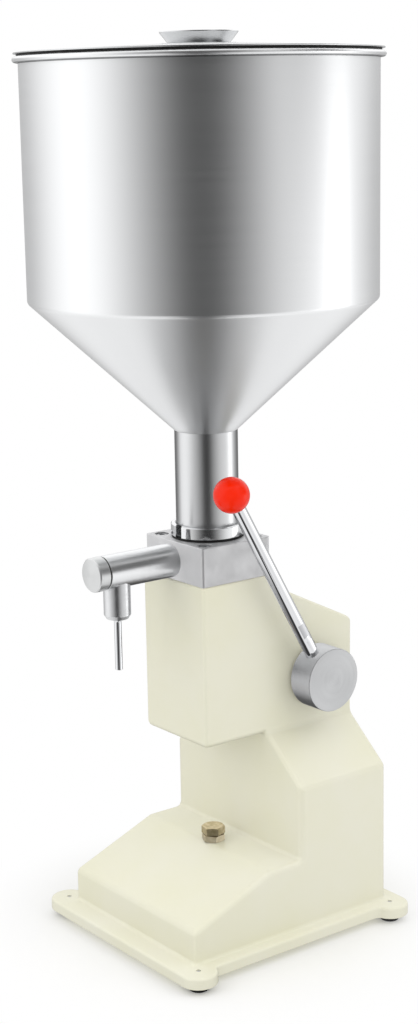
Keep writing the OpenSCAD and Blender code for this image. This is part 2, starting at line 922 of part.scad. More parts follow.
// A conical spring, whose turns lie inside each other when it is pressed flat
module inlet_spring() {
    ball_r = inlet_ball_d / 2;
    wire_r = inlet_wire_d / 2;
    ring_r = ball_r * ring_share;
    ring_z = inlet_ball_z - sqrt((ball_r + wire_r) ^ 2 - ring_r ^ 2);
    foot_r = ring_r + inlet_turns * (inlet_wire_d + seat_gap);
    color(bright)
        wire(coil_path(foot_r, ring_r, top_z + cage_t + wire_r + seat_gap, ring_z - seat_gap,
            inlet_turns), wire_r);
}

// Outlet

module outlet_tube() {
    color(satin)
        at_outlet()
            difference() {
                union() {
                    y_cylinder(outlet_r, tube_end_y, -block_front);
                    y_cylinder(outlet_r - spigot_wall, -block_front - over, -block_front + spigot_len);
                }
                y_cylinder(outlet_bore_r, tube_end_y - over, -block_front + spigot_len + over);
                translate([0, -nozzle_out, 0])
                    z_cylinder(branch_d / 2 + fit, -outlet_r - over, 0);
            }
}

module cap_o_ring() {
    color(black)
        at_outlet()
            difference() {
                y_cylinder(outlet_r - cap_ring_inset, tube_end_y - cap_ring_t, tube_end_y);
                y_cylinder(outlet_bore_r + fit, tube_end_y - cap_ring_t - over, tube_end_y + over);
            }
}

module outlet_end_cap() {
    face_r = outlet_r - cap_bevel;
    ring_r = outlet_ball_d / 2 * ring_share;
    spigot_end = -tube_end_y - cap_spigot_len;
    dome = [for (i = [0:cap_dome_steps])
        let (s = i / cap_dome_steps)
        [face_r * s, outlet_reach - cap_dome * s ^ 2]];
    color(bright)
        at_outlet()
            rotate([90, 0, 0])
                union() {
                    rotate_extrude()
                        polygon(concat(dome, [
                            [outlet_r, outlet_reach - cap_dome - cap_bevel],
                            [outlet_r, outlet_reach - cap_len],
                            [outlet_bore_r - fit, outlet_reach - cap_len],
                            [outlet_bore_r - fit, spigot_end],
                            [0, spigot_end]]));
                    z_cylinder(ring_r - outlet_wire_d / 2 - seat_gap, spigot_end - cap_pilot_len,
                        spigot_end + over);
                }
}

module nozzle_holder() {
    shoulder = -holder_drop + nozzle_in;
    color(satin)
        at_nozzle()
            difference() {
                union() {
                    difference() {
                        rotate_extrude()
                            polygon([
                                [0, -holder_drop],
                                [holder_d / 2 - holder_bevel_in, -holder_drop],
                                [holder_d / 2, -holder_drop + holder_bevel],
                                [holder_d / 2, 0],
                                [0, 0]]);
                        y_cylinder(outlet_r + fit, -holder_d, holder_d);
                    }
                    z_cylinder(branch_d / 2, -outlet_r - over, -outlet_bore_r + over);
                }
                y_cylinder(outlet_bore_r, -holder_d, holder_d);
                z_cylinder(holder_bore_d / 2, shoulder, 0);
                z_cylinder(nozzle_root_r + fit, -holder_drop - over, shoulder + over);
            }
}

module nozzle_tube() {
    tip = -holder_drop - nozzle_len;
    head = -holder_drop + nozzle_in;
    color(bright)
        at_nozzle()
            rotate_extrude()
                polygon([
                    [nozzle_bore / 2, tip],
                    [nozzle_d / 2, tip],
                    [nozzle_d / 2, -holder_drop - nozzle_collar_h],
                    [nozzle_d / 2 + nozzle_collar, -holder_drop],
                    [nozzle_root_r, -holder_drop],
                    [nozzle_root_r, head],
                    [nozzle_bore / 2, head]]);
}

module outlet_valve_ball() {
    color(bright)
        at_outlet()
            translate([0, outlet_ball_y, 0])
                sphere(d = outlet_ball_d);
}

module outlet_spring() {
    ball_r = outlet_ball_d / 2;
    wire_r = outlet_wire_d / 2;
    ring_r = ball_r * ring_share;
    ring_at = -outlet_ball_y + sqrt((ball_r + wire_r) ^ 2 - ring_r ^ 2);
    color(bright)
        at_outlet()
            rotate([90, 0, 0])
                wire(coil_path(ring_r, ring_r, ring_at + seat_gap,
                    -tube_end_y - cap_spigot_len - wire_r - seat_gap, outlet_turns), wire_r);
}

// Hopper

module neck_gasket() {
    color(black)
        z_ring(ring_d / 2 - ring_bevel / 2, neck_r + fit, block_top_z, ring_z);
}

module ring_nut() {
    color(bright)
        difference() {
            rotate_extrude()
                polygon([
                    [neck_r + fit, ring_z],
                    [ring_d / 2 - ring_bevel, ring_z],
                    [ring_d / 2, ring_z + ring_bevel],
                    [ring_d / 2, ring_top_z - ring_bevel],
                    [ring_d / 2 - ring_bevel, ring_top_z],
                    [neck_r + fit, ring_top_z]]);
            for (i = [0:ring_slots - 1])
                rotate([0, 0, 360 * i / ring_slots - 90])
                    translate([ring_d / 2 - ring_slot_depth, -ring_slot_w / 2, ring_z - over])
                        cube([ring_slot_depth + over, ring_slot_w, ring_h + 2 * over]);
        }
}

module neck_tube() {
    color(steel)
        z_ring(neck_r, neck_r - sheet, socket_z, cone_z + cone_skin);
}

module hopper_bowl() {
    mouth_r = neck_r + fit;
    crease_z = bowl_z + cone_skin - sheet * cone_h / (bowl_r - mouth_r);
    web_lean = asin((bead_r - rim_web_t) / bead_r);
    bead = [for (i = [0:bead_steps])
        let (a = 180 - web_lean + (270 + web_lean) * i / bead_steps)
        [bowl_r + bead_r + bead_r * cos(a), rim_z - bead_r + bead_r * sin(a)]];
    color(steel)
        rotate_extrude($fn = 144)
            polygon(concat(
                [[mouth_r, cone_z], [bowl_r, bowl_z], [bowl_r, rim_z - rim_web_t]],
                bead,
                [[bowl_r - sheet, rim_z], [bowl_r - sheet, crease_z], [mouth_r, cone_z + cone_skin]]));
}

// Lid

module lid_seal() {
    color(black)
        z_ring(skirt_r + fit + lid_seal_w, skirt_r + fit, rim_z, lid_z);
}

module hopper_lid() {
    crown_r = knob_foot_d / 2;
    crown_z = lid_z + lid_rise;
    color(bright)
        difference() {
            rotate_extrude($fn = 144)
                polygon([
                    [0, crown_z],
                    [crown_r, crown_z],
                    [skirt_r - lid_t, lid_z],
                    [skirt_r - lid_t, lid_z - skirt_len],
                    [skirt_r, lid_z - skirt_len],
                    [skirt_r, lid_z],
                    [lid_r, lid_z],
                    [lid_r, lid_z + lid_t],
                    [skirt_r, lid_z + lid_t],
                    [crown_r, crown_z + lid_t],
                    [0, crown_z + lid_t]]);
            z_cylinder(knob_screw_d / 2 + fit, crown_z - over, knob_z + over);
        }
}

module lid_knob() {
    color(bright)
        difference() {
            rotate_extrude()
                polygon([
                    [0, knob_z],
                    [knob_foot_d / 2, knob_z],
                    [knob_top_d / 2, knob_z + knob_h],
                    [knob_top_d / 2 - knob_rim, knob_z + knob_h],
                    [knob_top_d / 2 - knob_rim - knob_dish, knob_z + knob_h - knob_dish],
                    [0, knob_z + knob_h - knob_dish]]);
            z_cylinder(knob_screw_d / 2 + fit, knob_z - over, knob_z + knob_screw_in);
        }
}

module knob_screw() {
    under_lid = lid_z + lid_rise;
    color(steel)
        difference() {
            union() {
                z_cylinder(knob_screw_head_d / 2, under_lid - knob_screw_head_h, under_lid);
                z_cylinder(knob_screw_d / 2, under_lid - knob_screw_head_h, knob_z + knob_screw_in - gap);
            }
            translate([0, 0, under_lid - knob_screw_head_h])
                mirror([0, 0, 1])
                    socket(knob_screw_d, knob_screw_head_h / 2, button_socket_share);
        }
}

// Pump

module pump_cylinder() {
    color(steel)
        difference() {
            union() {
                z_cylinder(cylinder_r, cylinder_z, cylinder_top_z);
                z_cylinder(cylinder_r + cylinder_flange_wall, cylinder_top_z - cylinder_flange_t,
                    cylinder_top_z);
            }
            z_cylinder(bore_r, cylinder_z - over, cylinder_top_z + over);
        }
}

module cylinder_gasket() {
    color(black)
        z_ring(cylinder_r + cylinder_flange_wall, chamber_r + cage_wall / 2, cylinder_top_z, top_z);
}

// Foot of the seal groove that is i lands below the crown
function groove_z(i) = crown_z - (i + 1) * (seal_land + seal_t);

module piston() {
    color(bright)
        difference() {
            z_cylinder(bore_r - piston_gap, piston_foot_z, crown_z);
            for (i = [0:1])
                z_ring(bore_r, bore_r - seal_depth, groove_z(i), groove_z(i) + seal_t);
            z_cylinder(rod_stud_d / 2 + fit, piston_foot_z - over, piston_foot_z + rod_stud_len);
        }
}

module piston_seals() {
    color(black)
        for (i = [0:1])
            z_ring(bore_r - fit, bore_r - seal_depth + fit, groove_z(i) + fit, groove_z(i) + seal_t - fit);
}

module piston_rod() {
    color(bright)
        difference() {
            union() {
                z_cylinder(rod_r, rod_end_z, piston_foot_z);
                z_cylinder(rod_stud_d / 2, piston_foot_z - over, piston_foot_z + rod_stud_len - gap);
            }
            translate([0, 0, pin_z])
                x_cylinder(pin_r + fit, -rod_r - over, rod_r + over);
        }
}

module cross_pin() {
    color(bright)
        translate([0, 0, pin_z])
            difference() {
                x_cylinder(pin_r, -pin_half, pin_half);
                for (side = [-1, 1])
                    translate([side * (arm_half_w + gap + clip_t / 2), 0, 0])
                        difference() {
                            x_cylinder(pin_r + over, -clip_t / 2, clip_t / 2);
                            x_cylinder(pin_r - clip_groove, -clip_t, clip_t);
                        }
            }
}

module pin_clips() {
    color(steel)
        translate([0, 0, pin_z])
            for (side = [-1, 1])
                translate([side * (arm_half_w + gap + clip_t / 2), 0, 0])
                    difference() {
                        x_cylinder(pin_r + clip_wall, -clip_t / 2 + fit, clip_t / 2 - fit);
                        x_cylinder(pin_r - clip_groove + fit, -clip_t, clip_t);
                    }
}

module rod_guide_bush() {
    color(brass)
        z_ring(rod_r + guide_wall, rod_r + fit, head_z + guide_in, head_z + casting_wall + guide_up);
}

// Lever and its shaft

module drive_arm() {
    slot_near = -shaft_back + slot_room;
    slot_far = -slot_out - slot_room;
    slot_half = pin_r + slot_gap;
    root = arm_hub_r * arm_root_share;
    web_y = -arm_hub_r - web_reach;
    web_half = cheek_half + web_taper;
    color(satin)
        at_arm()
            difference() {
                union() {
                    x_cylinder(arm_hub_r, -arm_half_w, arm_half_w);
                    difference() {
                        union() {
                            side_prism([
                                [0, -root],
                                [0, root],
                                [web_y, web_half],
                                [slot_far, cheek_half],
                                [slot_far, -cheek_half],
                                [web_y, -web_half]], arm_half_w);
                            translate([0, slot_far, 0])
                                x_cylinder(cheek_half, -arm_half_w, arm_half_w);
                        }
                        translate([-cheek_x, slot_far - arm_hub_r, -arm_hub_r])
                            cube([2 * cheek_x, web_y - slot_far + arm_hub_r, 2 * arm_hub_r]);
                    }
                }
                x_cylinder(shaft_r + fit, -arm_half_w - over, arm_half_w + over);
                side_prism([
                    [slot_far, -slot_half],
                    [slot_near, -slot_half],
                    [slot_near, slot_half],
                    [slot_far, slot_half]], arm_half_w + over);
                for (y = [slot_near, slot_far])
                    translate([0, y, 0])
                        x_cylinder(slot_half, -arm_half_w - over, arm_half_w + over);
                y_cylinder(arm_screw_d / 2 + fit, 0, arm_hub_r + over);
            }
}

module arm_screw() {
    end = arm_hub_r + arm_screw_proud;
    color(steel)
        at_arm()
            difference() {
                y_cylinder(arm_screw_d / 2, shaft_r + fit, end);
                translate([0, end, 0])
                    rotate([-90, 0, 0])
                        socket(arm_screw_d, arm_screw_d / 2, set_socket_share);
            }
}

module lever_shaft() {
    color(steel)
        at_shaft()
            difference() {
                x_cylinder(shaft_r, shaft_left_x, shaft_right_x);
                translate([shaft_left_x + shaft_tail, 0, 0])
                    difference() {
                        x_cylinder(shaft_r + over, 0, ring_groove_t);
                        x_cylinder(shaft_r - ring_groove_depth, -over, ring_groove_t + over);
                    }
            }
}

module shaft_retaining_ring() {
    color(steel)
        at_shaft()
            translate([shaft_left_x + shaft_tail, 0, 0])
                difference() {
                    x_cylinder(shaft_r + ring_wall, fit, ring_groove_t - fit);
                    x_cylinder(shaft_r - ring_groove_depth + fit, -over, ring_groove_t + over);
                }
}

module shaft_bush(side) {
    color(brass)
        at_shaft()
            mirror([side, 0, 0])
                difference() {
                    union() {
                        x_cylinder(shaft_r + bush_wall, bush_in_x, side_x + bush_flange_t);
                        x_cylinder(shaft_r + bush_flange_wall, side_x, side_x + bush_flange_t);
                    }
                    x_cylinder(shaft_r + fit, bush_in_x - over, side_x + bush_flange_t + over);
                }
}

module shaft_bush_right() shaft_bush(0);
module shaft_bush_left() shaft_bush(1);

module lever_hub() {
    hub_end = hub_x + hub_t;
    color(satin)
        difference() {
            at_shaft()
                rotate([0, 90, 0])
                    rotate_extrude($fn = 96)
                        polygon([
                            [0, hub_x],
                            [hub_r - hub_bevel, hub_x],
                            [hub_r, hub_x + hub_bevel],
                            [hub_r, hub_end - hub_bevel],
                            [hub_r - hub_bevel, hub_end],
                            [0, hub_end]]);
            at_shaft()
                x_cylinder(shaft_r + fit, hub_x - over, shaft_right_x + gap);
            at_lever() {
                z_cylinder(stud_d / 2 + fit, shaft_r + stud_in, hub_r + over);
                z_cylinder(lever_r + fit, hub_r - rod_sink, hub_r + over);
                z_cylinder(set_screw_d / 2 + fit, -hub_r - over, 0);
            }
        }
}

module hub_set_screw() {
    color(steel)
        at_lever()
            difference() {
                z_cylinder(set_screw_d / 2, -hub_r + hub_bevel, -shaft_r - fit);
                translate([0, 0, -hub_r + hub_bevel])
                    mirror([0, 0, 1])
                        socket(set_screw_d, set_screw_d / 2, set_socket_share);
            }
}

module lever_rod() {
    top = lever_reach - ball_d / 2 + ball_sink;
    color(bright)
        at_lever()
            difference() {
                union() {
                    z_cylinder(stud_d / 2, shaft_r + stud_in + gap, lever_reach + ball_stud_in - gap);
                    z_cylinder(lever_r, hub_r - rod_sink + fit, top - fit);
                }
                for (side = [0, 1])
                    mirror([side, 0, 0])
                        translate([flat_af / 2, 0, hub_r + flat_up]) {
                            translate([0, -lever_rod_d, 0])
                                cube([lever_rod_d, 2 * lever_rod_d, flat_len]);
                            translate([flat_cutter_r, 0, 0])
                                y_cylinder(flat_cutter_r, -lever_rod_d, lever_rod_d);
                        }
            }
}

module lever_ball() {
    collar = ball_d / 2 - ball_sink;
    color(red)
        at_lever()
            translate([0, 0, lever_reach])
                difference() {
                    sphere(d = ball_d, $fn = 96);
                    z_cylinder(stud_d / 2 + fit, -ball_d / 2 - over, ball_stud_in);
                    z_cylinder(lever_r + fit, -ball_d / 2 - over, -collar);
                }
}

body_casting();
rear_cover();
rear_cover_screws();
foot_front_left();
foot_front_right();
foot_rear_left();
foot_rear_right();
foot_screws();
adjusting_bolt();
lock_nut();
valve_block();
block_screws();
neck_gasket();
ring_nut();
neck_tube();
hopper_bowl();
lid_seal();
hopper_lid();
lid_knob();
knob_screw();
outlet_tube();
cap_o_ring();
outlet_end_cap();
nozzle_holder();
nozzle_tube();
outlet_valve_ball();
outlet_spring();
inlet_valve_ball();
inlet_spring();
spring_cage();
pump_cylinder();
cylinder_gasket();
piston();
piston_seals();
piston_rod();
cross_pin();
pin_clips();
rod_guide_bush();
drive_arm();
arm_screw();
lever_shaft();
shaft_bush_right();
shaft_bush_left();
shaft_retaining_ring();
lever_hub();
hub_set_screw();
lever_rod();
lever_ball();
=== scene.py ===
import math

import bmesh
import bpy
from mathutils import Matrix, Vector


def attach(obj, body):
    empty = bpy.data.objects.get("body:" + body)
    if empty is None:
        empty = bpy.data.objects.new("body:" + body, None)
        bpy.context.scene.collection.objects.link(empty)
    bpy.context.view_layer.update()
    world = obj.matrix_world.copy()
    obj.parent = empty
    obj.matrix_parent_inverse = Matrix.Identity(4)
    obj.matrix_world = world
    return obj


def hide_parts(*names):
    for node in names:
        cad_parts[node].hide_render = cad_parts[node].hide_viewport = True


# A hand lever filling machine: an enamelled casting, a valve block of satin steel, a steel hopper with
# its lid, and a lever with a red ball. Lengths are in mm up to the point where a mesh is made.

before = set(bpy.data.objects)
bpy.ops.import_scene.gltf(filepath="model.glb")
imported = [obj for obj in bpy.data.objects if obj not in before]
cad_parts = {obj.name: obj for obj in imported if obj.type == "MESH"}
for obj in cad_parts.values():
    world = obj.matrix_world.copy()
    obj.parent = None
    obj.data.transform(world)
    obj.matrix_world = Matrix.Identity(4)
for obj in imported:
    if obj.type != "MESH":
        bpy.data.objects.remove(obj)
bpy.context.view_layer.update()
MM = 0.001
scene = bpy.context.scene


# Nodes, for materials, the world and geometry alike

MATH, VECTOR, RANGE = "ShaderNodeMath", "ShaderNodeVectorMath", "ShaderNodeMapRange"
MIX, NOISE = "ShaderNodeMix", "ShaderNodeTexNoise"
EASED = {"interpolation_type": "SMOOTHSTEP"}


def add(tree, kind, settings={}, inputs={}):
    """Adds a node. Settings are its properties. Inputs are values or sockets, by name or by number."""
    made = tree.nodes.new(kind)
    for name, value in settings.items():
        setattr(made, name, value)
    for key, value in inputs.items():
        if isinstance(value, bpy.types.NodeSocket):
            tree.links.new(value, made.inputs[key])
        else:
            made.inputs[key].default_value = value
    return made


def linear(code):
    """The linear colour of an sRGB hex value such as "#E8E6CF"."""
    shares = [int(code[i:i + 2], 16) / 255 for i in (1, 3, 5)]
    return (*[s / 12.92 if s <= 0.04045 else ((s + 0.055) / 1.055) ** 2.4 for s in shares], 1)


# Camera

CAMERA_AT = Vector((1219.89, -929.38, 704.29))
CAMERA_AZIMUTH = math.radians(52.65)
CAMERA_PITCH = math.radians(12.35)
CAMERA_ROLL = math.radians(1.04)
FOCAL_SHARE = 1869.28 / 418  # focal length as a share of the picture's width
SENSOR = 36
TO_CAMERA = Vector((math.sin(CAMERA_AZIMUTH), -math.cos(CAMERA_AZIMUTH), 0))    # level, from the machine
CAMERA_SIDE = Vector((math.cos(CAMERA_AZIMUTH), math.sin(CAMERA_AZIMUTH), 0))   # level, to its right


def place_camera():
    ahead = -TO_CAMERA * math.cos(CAMERA_PITCH) - Vector((0, 0, math.sin(CAMERA_PITCH)))
    down = ahead.cross(CAMERA_SIDE)
    across = CAMERA_SIDE * math.cos(CAMERA_ROLL) + down * math.sin(CAMERA_ROLL)
    up = CAMERA_SIDE * math.sin(CAMERA_ROLL) - down * math.cos(CAMERA_ROLL)
    lens = bpy.data.cameras.new("camera")
    lens.sensor_fit = "HORIZONTAL"
    lens.sensor_width = SENSOR
    lens.lens = FOCAL_SHARE * SENSOR
    camera = bpy.data.objects.new("camera", lens)
    camera.matrix_world = Matrix((across, up, -ahead)).transposed().to_4x4()
    camera.location = CAMERA_AT * MM
    scene.collection.objects.link(camera)
    scene.camera = camera


place_camera()
scene.view_settings.view_transform = "Standard"


# Studio: a white room whose end behind the camera is dim, three soft boxes, and a white floor

# A patch has pairs of places, where it starts and where it is full: in degrees to the right of the camera, or
# in height, as a share of the way up from the horizon. Levels are shares of plain white.
ROOM_DARK = 0.05      # the dim end of the room, as metal shows it
ROOM_SIDES = 1.2      # its bright sides
ROOM_REAR = 0.5       # the end of the room behind the machine, low down
REAR_HIGH = 1.25      # and above the table
REAR_RISE = 0.25      # the height at which it is bright
DARK_FROM, SIDES_FROM, REAR_FROM = 5, 85, 150      # degrees to either side of the camera
CEILING, CEILING_FROM, CEILING_TO = 1.05, 0.6, 0.95
ROOM_PANEL = 1.9      # a bright panel in the right wall, low down
PANEL_LEFT, PANEL_RIGHT, PANEL_TOP = (80, 90), (112, 100), (0.1, -0.05)
CARD_DARK = 0.06      # a black card high at the right
CARD_LEFT, CARD_RIGHT, CARD_FOOT, CARD_TOP = (45, 65), (120, 95), (-0.05, 0.2), (0.8, 0.6)
FLOOR_FROM, FLOOR_TO = -0.25, -0.6                  # the far floor, below the horizon
FAR_STRIP_FROM, FAR_STRIP_TO = 0.08, 0.4            # the edge of its dark strip, to either side
PLAIN_WALLS, PLAIN_CEILING, PLAIN_FLOOR = 0.66, 1.06, 0.78    # what reaches enamel and rubber
BOX_AIM = Vector((0, 0, 0.35))
SOFT_BOXES = {"right": ((1.35, 0.85, 1.25), 1.5, 6.2), "left": ((-0.25, -1.7, 1.1), 1.5, 6.2),
              "front": ((1.25, -1.2, 0.6), 1.2, 3.6)}       # place and size in metres, and power in watts

# The floor, in metres from the middle
FLOOR_R, FLOOR_SIDES = 0.34, 96
FADE_FROM, FADE_TO = 0.12, 0.24                     # where it fades into the white
FLAG_DARK, FLAG_FROM, FLAG_TO = 0.04, 0.03, 0.27    # its dark strip, and the strip's edge near the machine
STRIP_FROM, STRIP_TO = 0.035, 0.08                  # the strip's edge nearer to the camera
STRIP_STARTS, STRIP_IS_NARROW = 0.05, 0.18          # where it starts to narrow, and where it is narrow


def build_world():
    world = bpy.data.worlds.new("white_room")
    scene.world = world
    world.use_nodes = True
    tree = world.node_tree
    way = add(tree, "ShaderNodeTexCoord").outputs["Generated"]
    toward = add(tree, VECTOR, {"operation": "DOT_PRODUCT"}, {0: way, 1: TO_CAMERA}).outputs["Value"]
    side = add(tree, VECTOR, {"operation": "DOT_PRODUCT"}, {0: way, 1: CAMERA_SIDE}).outputs["Value"]
    turn = add(tree, MATH, {"operation": "ARCTAN2"}, {0: side, 1: toward}).outputs[0]
    turn = add(tree, MATH, {"operation": "DEGREES"}, {0: turn}).outputs[0]
    off_camera = add(tree, MATH, {"operation": "ABSOLUTE"}, {0: turn}).outputs[0]
    height = add(tree, "ShaderNodeSeparateXYZ", {}, {0: way}).outputs["Z"]

    def patched(base, level, edges):
        """The base with a patch of another level. Each edge is a value with where the patch starts there
        and where it is full."""
        share = 1.0
        for value, start, full in edges:
            low, high = sorted((start, full))
            rise = {3: float(start > full), 4: float(start < full)}
            edge = add(tree, RANGE, EASED, {0: value, 1: low, 2: high, **rise}).outputs[0]
            share = add(tree, MATH, {"operation": "MULTIPLY"}, {0: share, 1: edge}).outputs[0]
        return add(tree, MIX, {}, {0: share, 2: base, 3: level}).outputs[0]

    rear = patched(ROOM_REAR, REAR_HIGH, [(height, 0, REAR_RISE)])
    walls = patched(ROOM_DARK, ROOM_SIDES, [(off_camera, DARK_FROM, SIDES_FROM)])
    walls = patched(walls, rear, [(off_camera, SIDES_FROM, REAR_FROM)])
    walls = patched(walls, ROOM_PANEL, [(turn, *PANEL_LEFT), (turn, *PANEL_RIGHT), (height, *PANEL_TOP)])
    walls = patched(walls, CARD_DARK, [(turn, *CARD_LEFT), (turn, *CARD_RIGHT), (height, *CARD_FOOT),
                                       (height, *CARD_TOP)])
    room = patched(walls, CEILING, [(height, CEILING_FROM, CEILING_TO)])
    off_middle = add(tree, MATH, {"operation": "ABSOLUTE"}, {0: side}).outputs[0]
    strip = patched(FLAG_DARK, 1.0, [(off_middle, FAR_STRIP_FROM, FAR_STRIP_TO)])
    seen_by_metal = patched(room, strip, [(height, FLOOR_FROM, FLOOR_TO)])
    plain = patched(PLAIN_WALLS, PLAIN_CEILING, [(height, 0, 1)])
    plain = patched(plain, PLAIN_FLOOR, [(height, 0, FLOOR_FROM)])
    ray = add(tree, "ShaderNodeLightPath")
    level = add(tree, MIX, {}, {0: ray.outputs["Is Glossy Ray"], 2: plain, 3: seen_by_metal}).outputs[0]
    straight = add(tree, MATH, {"operation": "MAXIMUM"},
                   {0: ray.outputs["Is Camera Ray"], 1: ray.outputs["Is Transmission Ray"]}).outputs[0]
    level = add(tree, MIX, {}, {0: straight, 2: level, 3: 1.0}).outputs[0]
    tree.links.new(level, tree.nodes["Background"].inputs["Strength"])
    tree.nodes["Background"].inputs["Color"].default_value = linear("#FFFFFF")


build_world()


def soft_box(name, place, size, power):
    lamp = bpy.data.lights.new("soft_box_" + name, "AREA")
    lamp.shape = "RECTANGLE"
    lamp.size = lamp.size_y = size
    lamp.energy = power
    box = bpy.data.objects.new(lamp.name, lamp)
    box.location = place
    box.rotation_euler = (BOX_AIM - Vector(place)).to_track_quat("-Z", "Y").to_euler()
    box.visible_camera = False
    box.visible_glossy = False
    scene.collection.objects.link(box)


for name, (place, size, power) in SOFT_BOXES.items():
    soft_box(name, place, size, power)


def build_floor():
    """A white disc. The camera sees it fade into the white, metal sees it with a dark strip toward the
    camera, and matt surfaces see it evenly lit."""
    mesh = bpy.data.meshes.new("floor")
    turns = [i * math.tau / FLOOR_SIDES for i in range(FLOOR_SIDES)]
    ring = [(FLOOR_R * math.cos(a), FLOOR_R * math.sin(a), 0) for a in turns]
    mesh.from_pydata(ring, [], [list(range(FLOOR_SIDES))])
    floor = bpy.data.objects.new("floor", mesh)
    scene.collection.objects.link(floor)
    finish = bpy.data.materials.new("white_floor")
    finish.use_nodes = True
    tree = finish.node_tree
    tree.nodes.remove(tree.nodes["Principled BSDF"])
    white = linear("#FFFFFF")
    place = add(tree, "ShaderNodeTexCoord").outputs["Object"]
    away = add(tree, VECTOR, {"operation": "LENGTH"}, {0: place}).outputs["Value"]
    fade = add(tree, RANGE, EASED, {0: away, 1: FADE_FROM, 2: FADE_TO}).outputs[0]
    ray = add(tree, "ShaderNodeLightPath")
    seen = add(tree, MATH, {"operation": "ADD", "use_clamp": True},
               {0: ray.outputs["Is Camera Ray"], 1: ray.outputs["Is Transmission Ray"]}).outputs[0]
    fade = add(tree, MATH, {"operation": "MULTIPLY"}, {0: fade, 1: seen}).outputs[0]
    matt = add(tree, "ShaderNodeBsdfDiffuse", {}, {"Color": linear("#F7F7F7")}).outputs[0]
    bright = add(tree, "ShaderNodeEmission", {}, {"Color": white, "Strength": 1.0}).outputs[0]
    across = add(tree, VECTOR, {"operation": "DOT_PRODUCT"}, {0: place, 1: CAMERA_SIDE}).outputs["Value"]
    across = add(tree, MATH, {"operation": "ABSOLUTE"}, {0: across}).outputs[0]
    nearer = add(tree, VECTOR, {"operation": "DOT_PRODUCT"}, {0: place, 1: TO_CAMERA}).outputs["Value"]
    edges = []
    for first, last in ((FLAG_FROM, STRIP_FROM), (FLAG_TO, STRIP_TO)):
        run = {0: nearer, 1: STRIP_STARTS, 2: STRIP_IS_NARROW, 3: first, 4: last}
        edges.append(add(tree, RANGE, {}, run).outputs[0])
    flag = add(tree, RANGE, EASED, {0: across, 1: edges[0], 2: edges[1], 3: FLAG_DARK}).outputs[0]
    flagged = add(tree, "ShaderNodeEmission", {}, {"Color": white, "Strength": flag}).outputs[0]
    even = add(tree, "ShaderNodeEmission", {}, {"Color": white, "Strength": PLAIN_FLOOR}).outputs[0]
    shown = matt
    for share, other in ((fade, bright), (ray.outputs["Is Glossy Ray"], flagged),
                         (ray.outputs["Is Diffuse Ray"], even)):
        shown = add(tree, "ShaderNodeMixShader", {}, {0: share, 1: shown, 2: other}).outputs[0]
    tree.links.new(shown, tree.nodes["Material Output"].inputs["Surface"])
    mesh.materials.append(finish)


build_floor()


# Places and turns that several pieces share

SHAFT_AT = (0, 78.5, 221.5)
LEVER_AT = (58, 78.5, 221.5)
LEVER_TURN = (29.5, 0, 0)
OUTLET_AT = (-5, 0, 332)
NOZZLE_AT = (-5, -91, 332)
TO_FRONT, TO_REAR, TO_RIGHT, TO_LEFT = (90, 0, 0), (-90, 0, 0), (0, 90, 0), (0, -90, 0)
HERE = (0, 0, 0)
FLAT_OFF, FLAT_LOW, FLAT_HIGH = 5, 47.5, 61.5       # the lever rod's wrench flats, off and along its axis
CREASE_Z = 737.6                                    # where the hopper's rolled rim meets its wall, and where the bowl's line of painted shade runs


# Materials

def finish_of(name, slot, colour, metallic, roughness, settings={}):
    """A new material with its plain values, the slot it stands for, its shader and its object coordinates."""
    made = bpy.data.materials.new(name)
    made.use_nodes = True
    made["slot"] = slot
    tree = made.node_tree
    shader = tree.nodes["Principled BSDF"]
    values = {"Base Color": linear(colour), "Metallic": metallic, "Roughness": roughness, **settings}
    for key, value in values.items():
        shader.inputs[key].default_value = value
    return made, tree, shader, add(tree, "ShaderNodeTexCoord").outputs["Object"]


def dress(tree, shader, height, depth_mm, strength, tones, share, grain=None, rough=None):
    """What the finishes have in common: a relief so many mm deep, two tones mixed by a share, and a roughness
    that follows a grain. The grain comes with the two levels between which the roughness runs."""
    bump = {"Height": height, "Distance": depth_mm * MM, "Strength": strength}
    tree.links.new(add(tree, "ShaderNodeBump", {}, bump).outputs[0], shader.inputs["Normal"])
    first, second = [linear(tone) for tone in tones]
    mixed = add(tree, MIX, {"data_type": "RGBA"}, {0: share, 6: first, 7: second})
    tree.links.new(mixed.outputs[2], shader.inputs["Base Color"])
    if rough:
        pattern, low, high = grain
        spread = add(tree, RANGE, {}, {0: pattern, 1: low, 2: high, 3: rough[0], 4: rough[1]})
        tree.links.new(spread.outputs[0], shader.inputs["Roughness"])


def grains(size_mm):
    """The scale of noise whose grains are about so many mm across."""
    return 1 / (size_mm * MM)


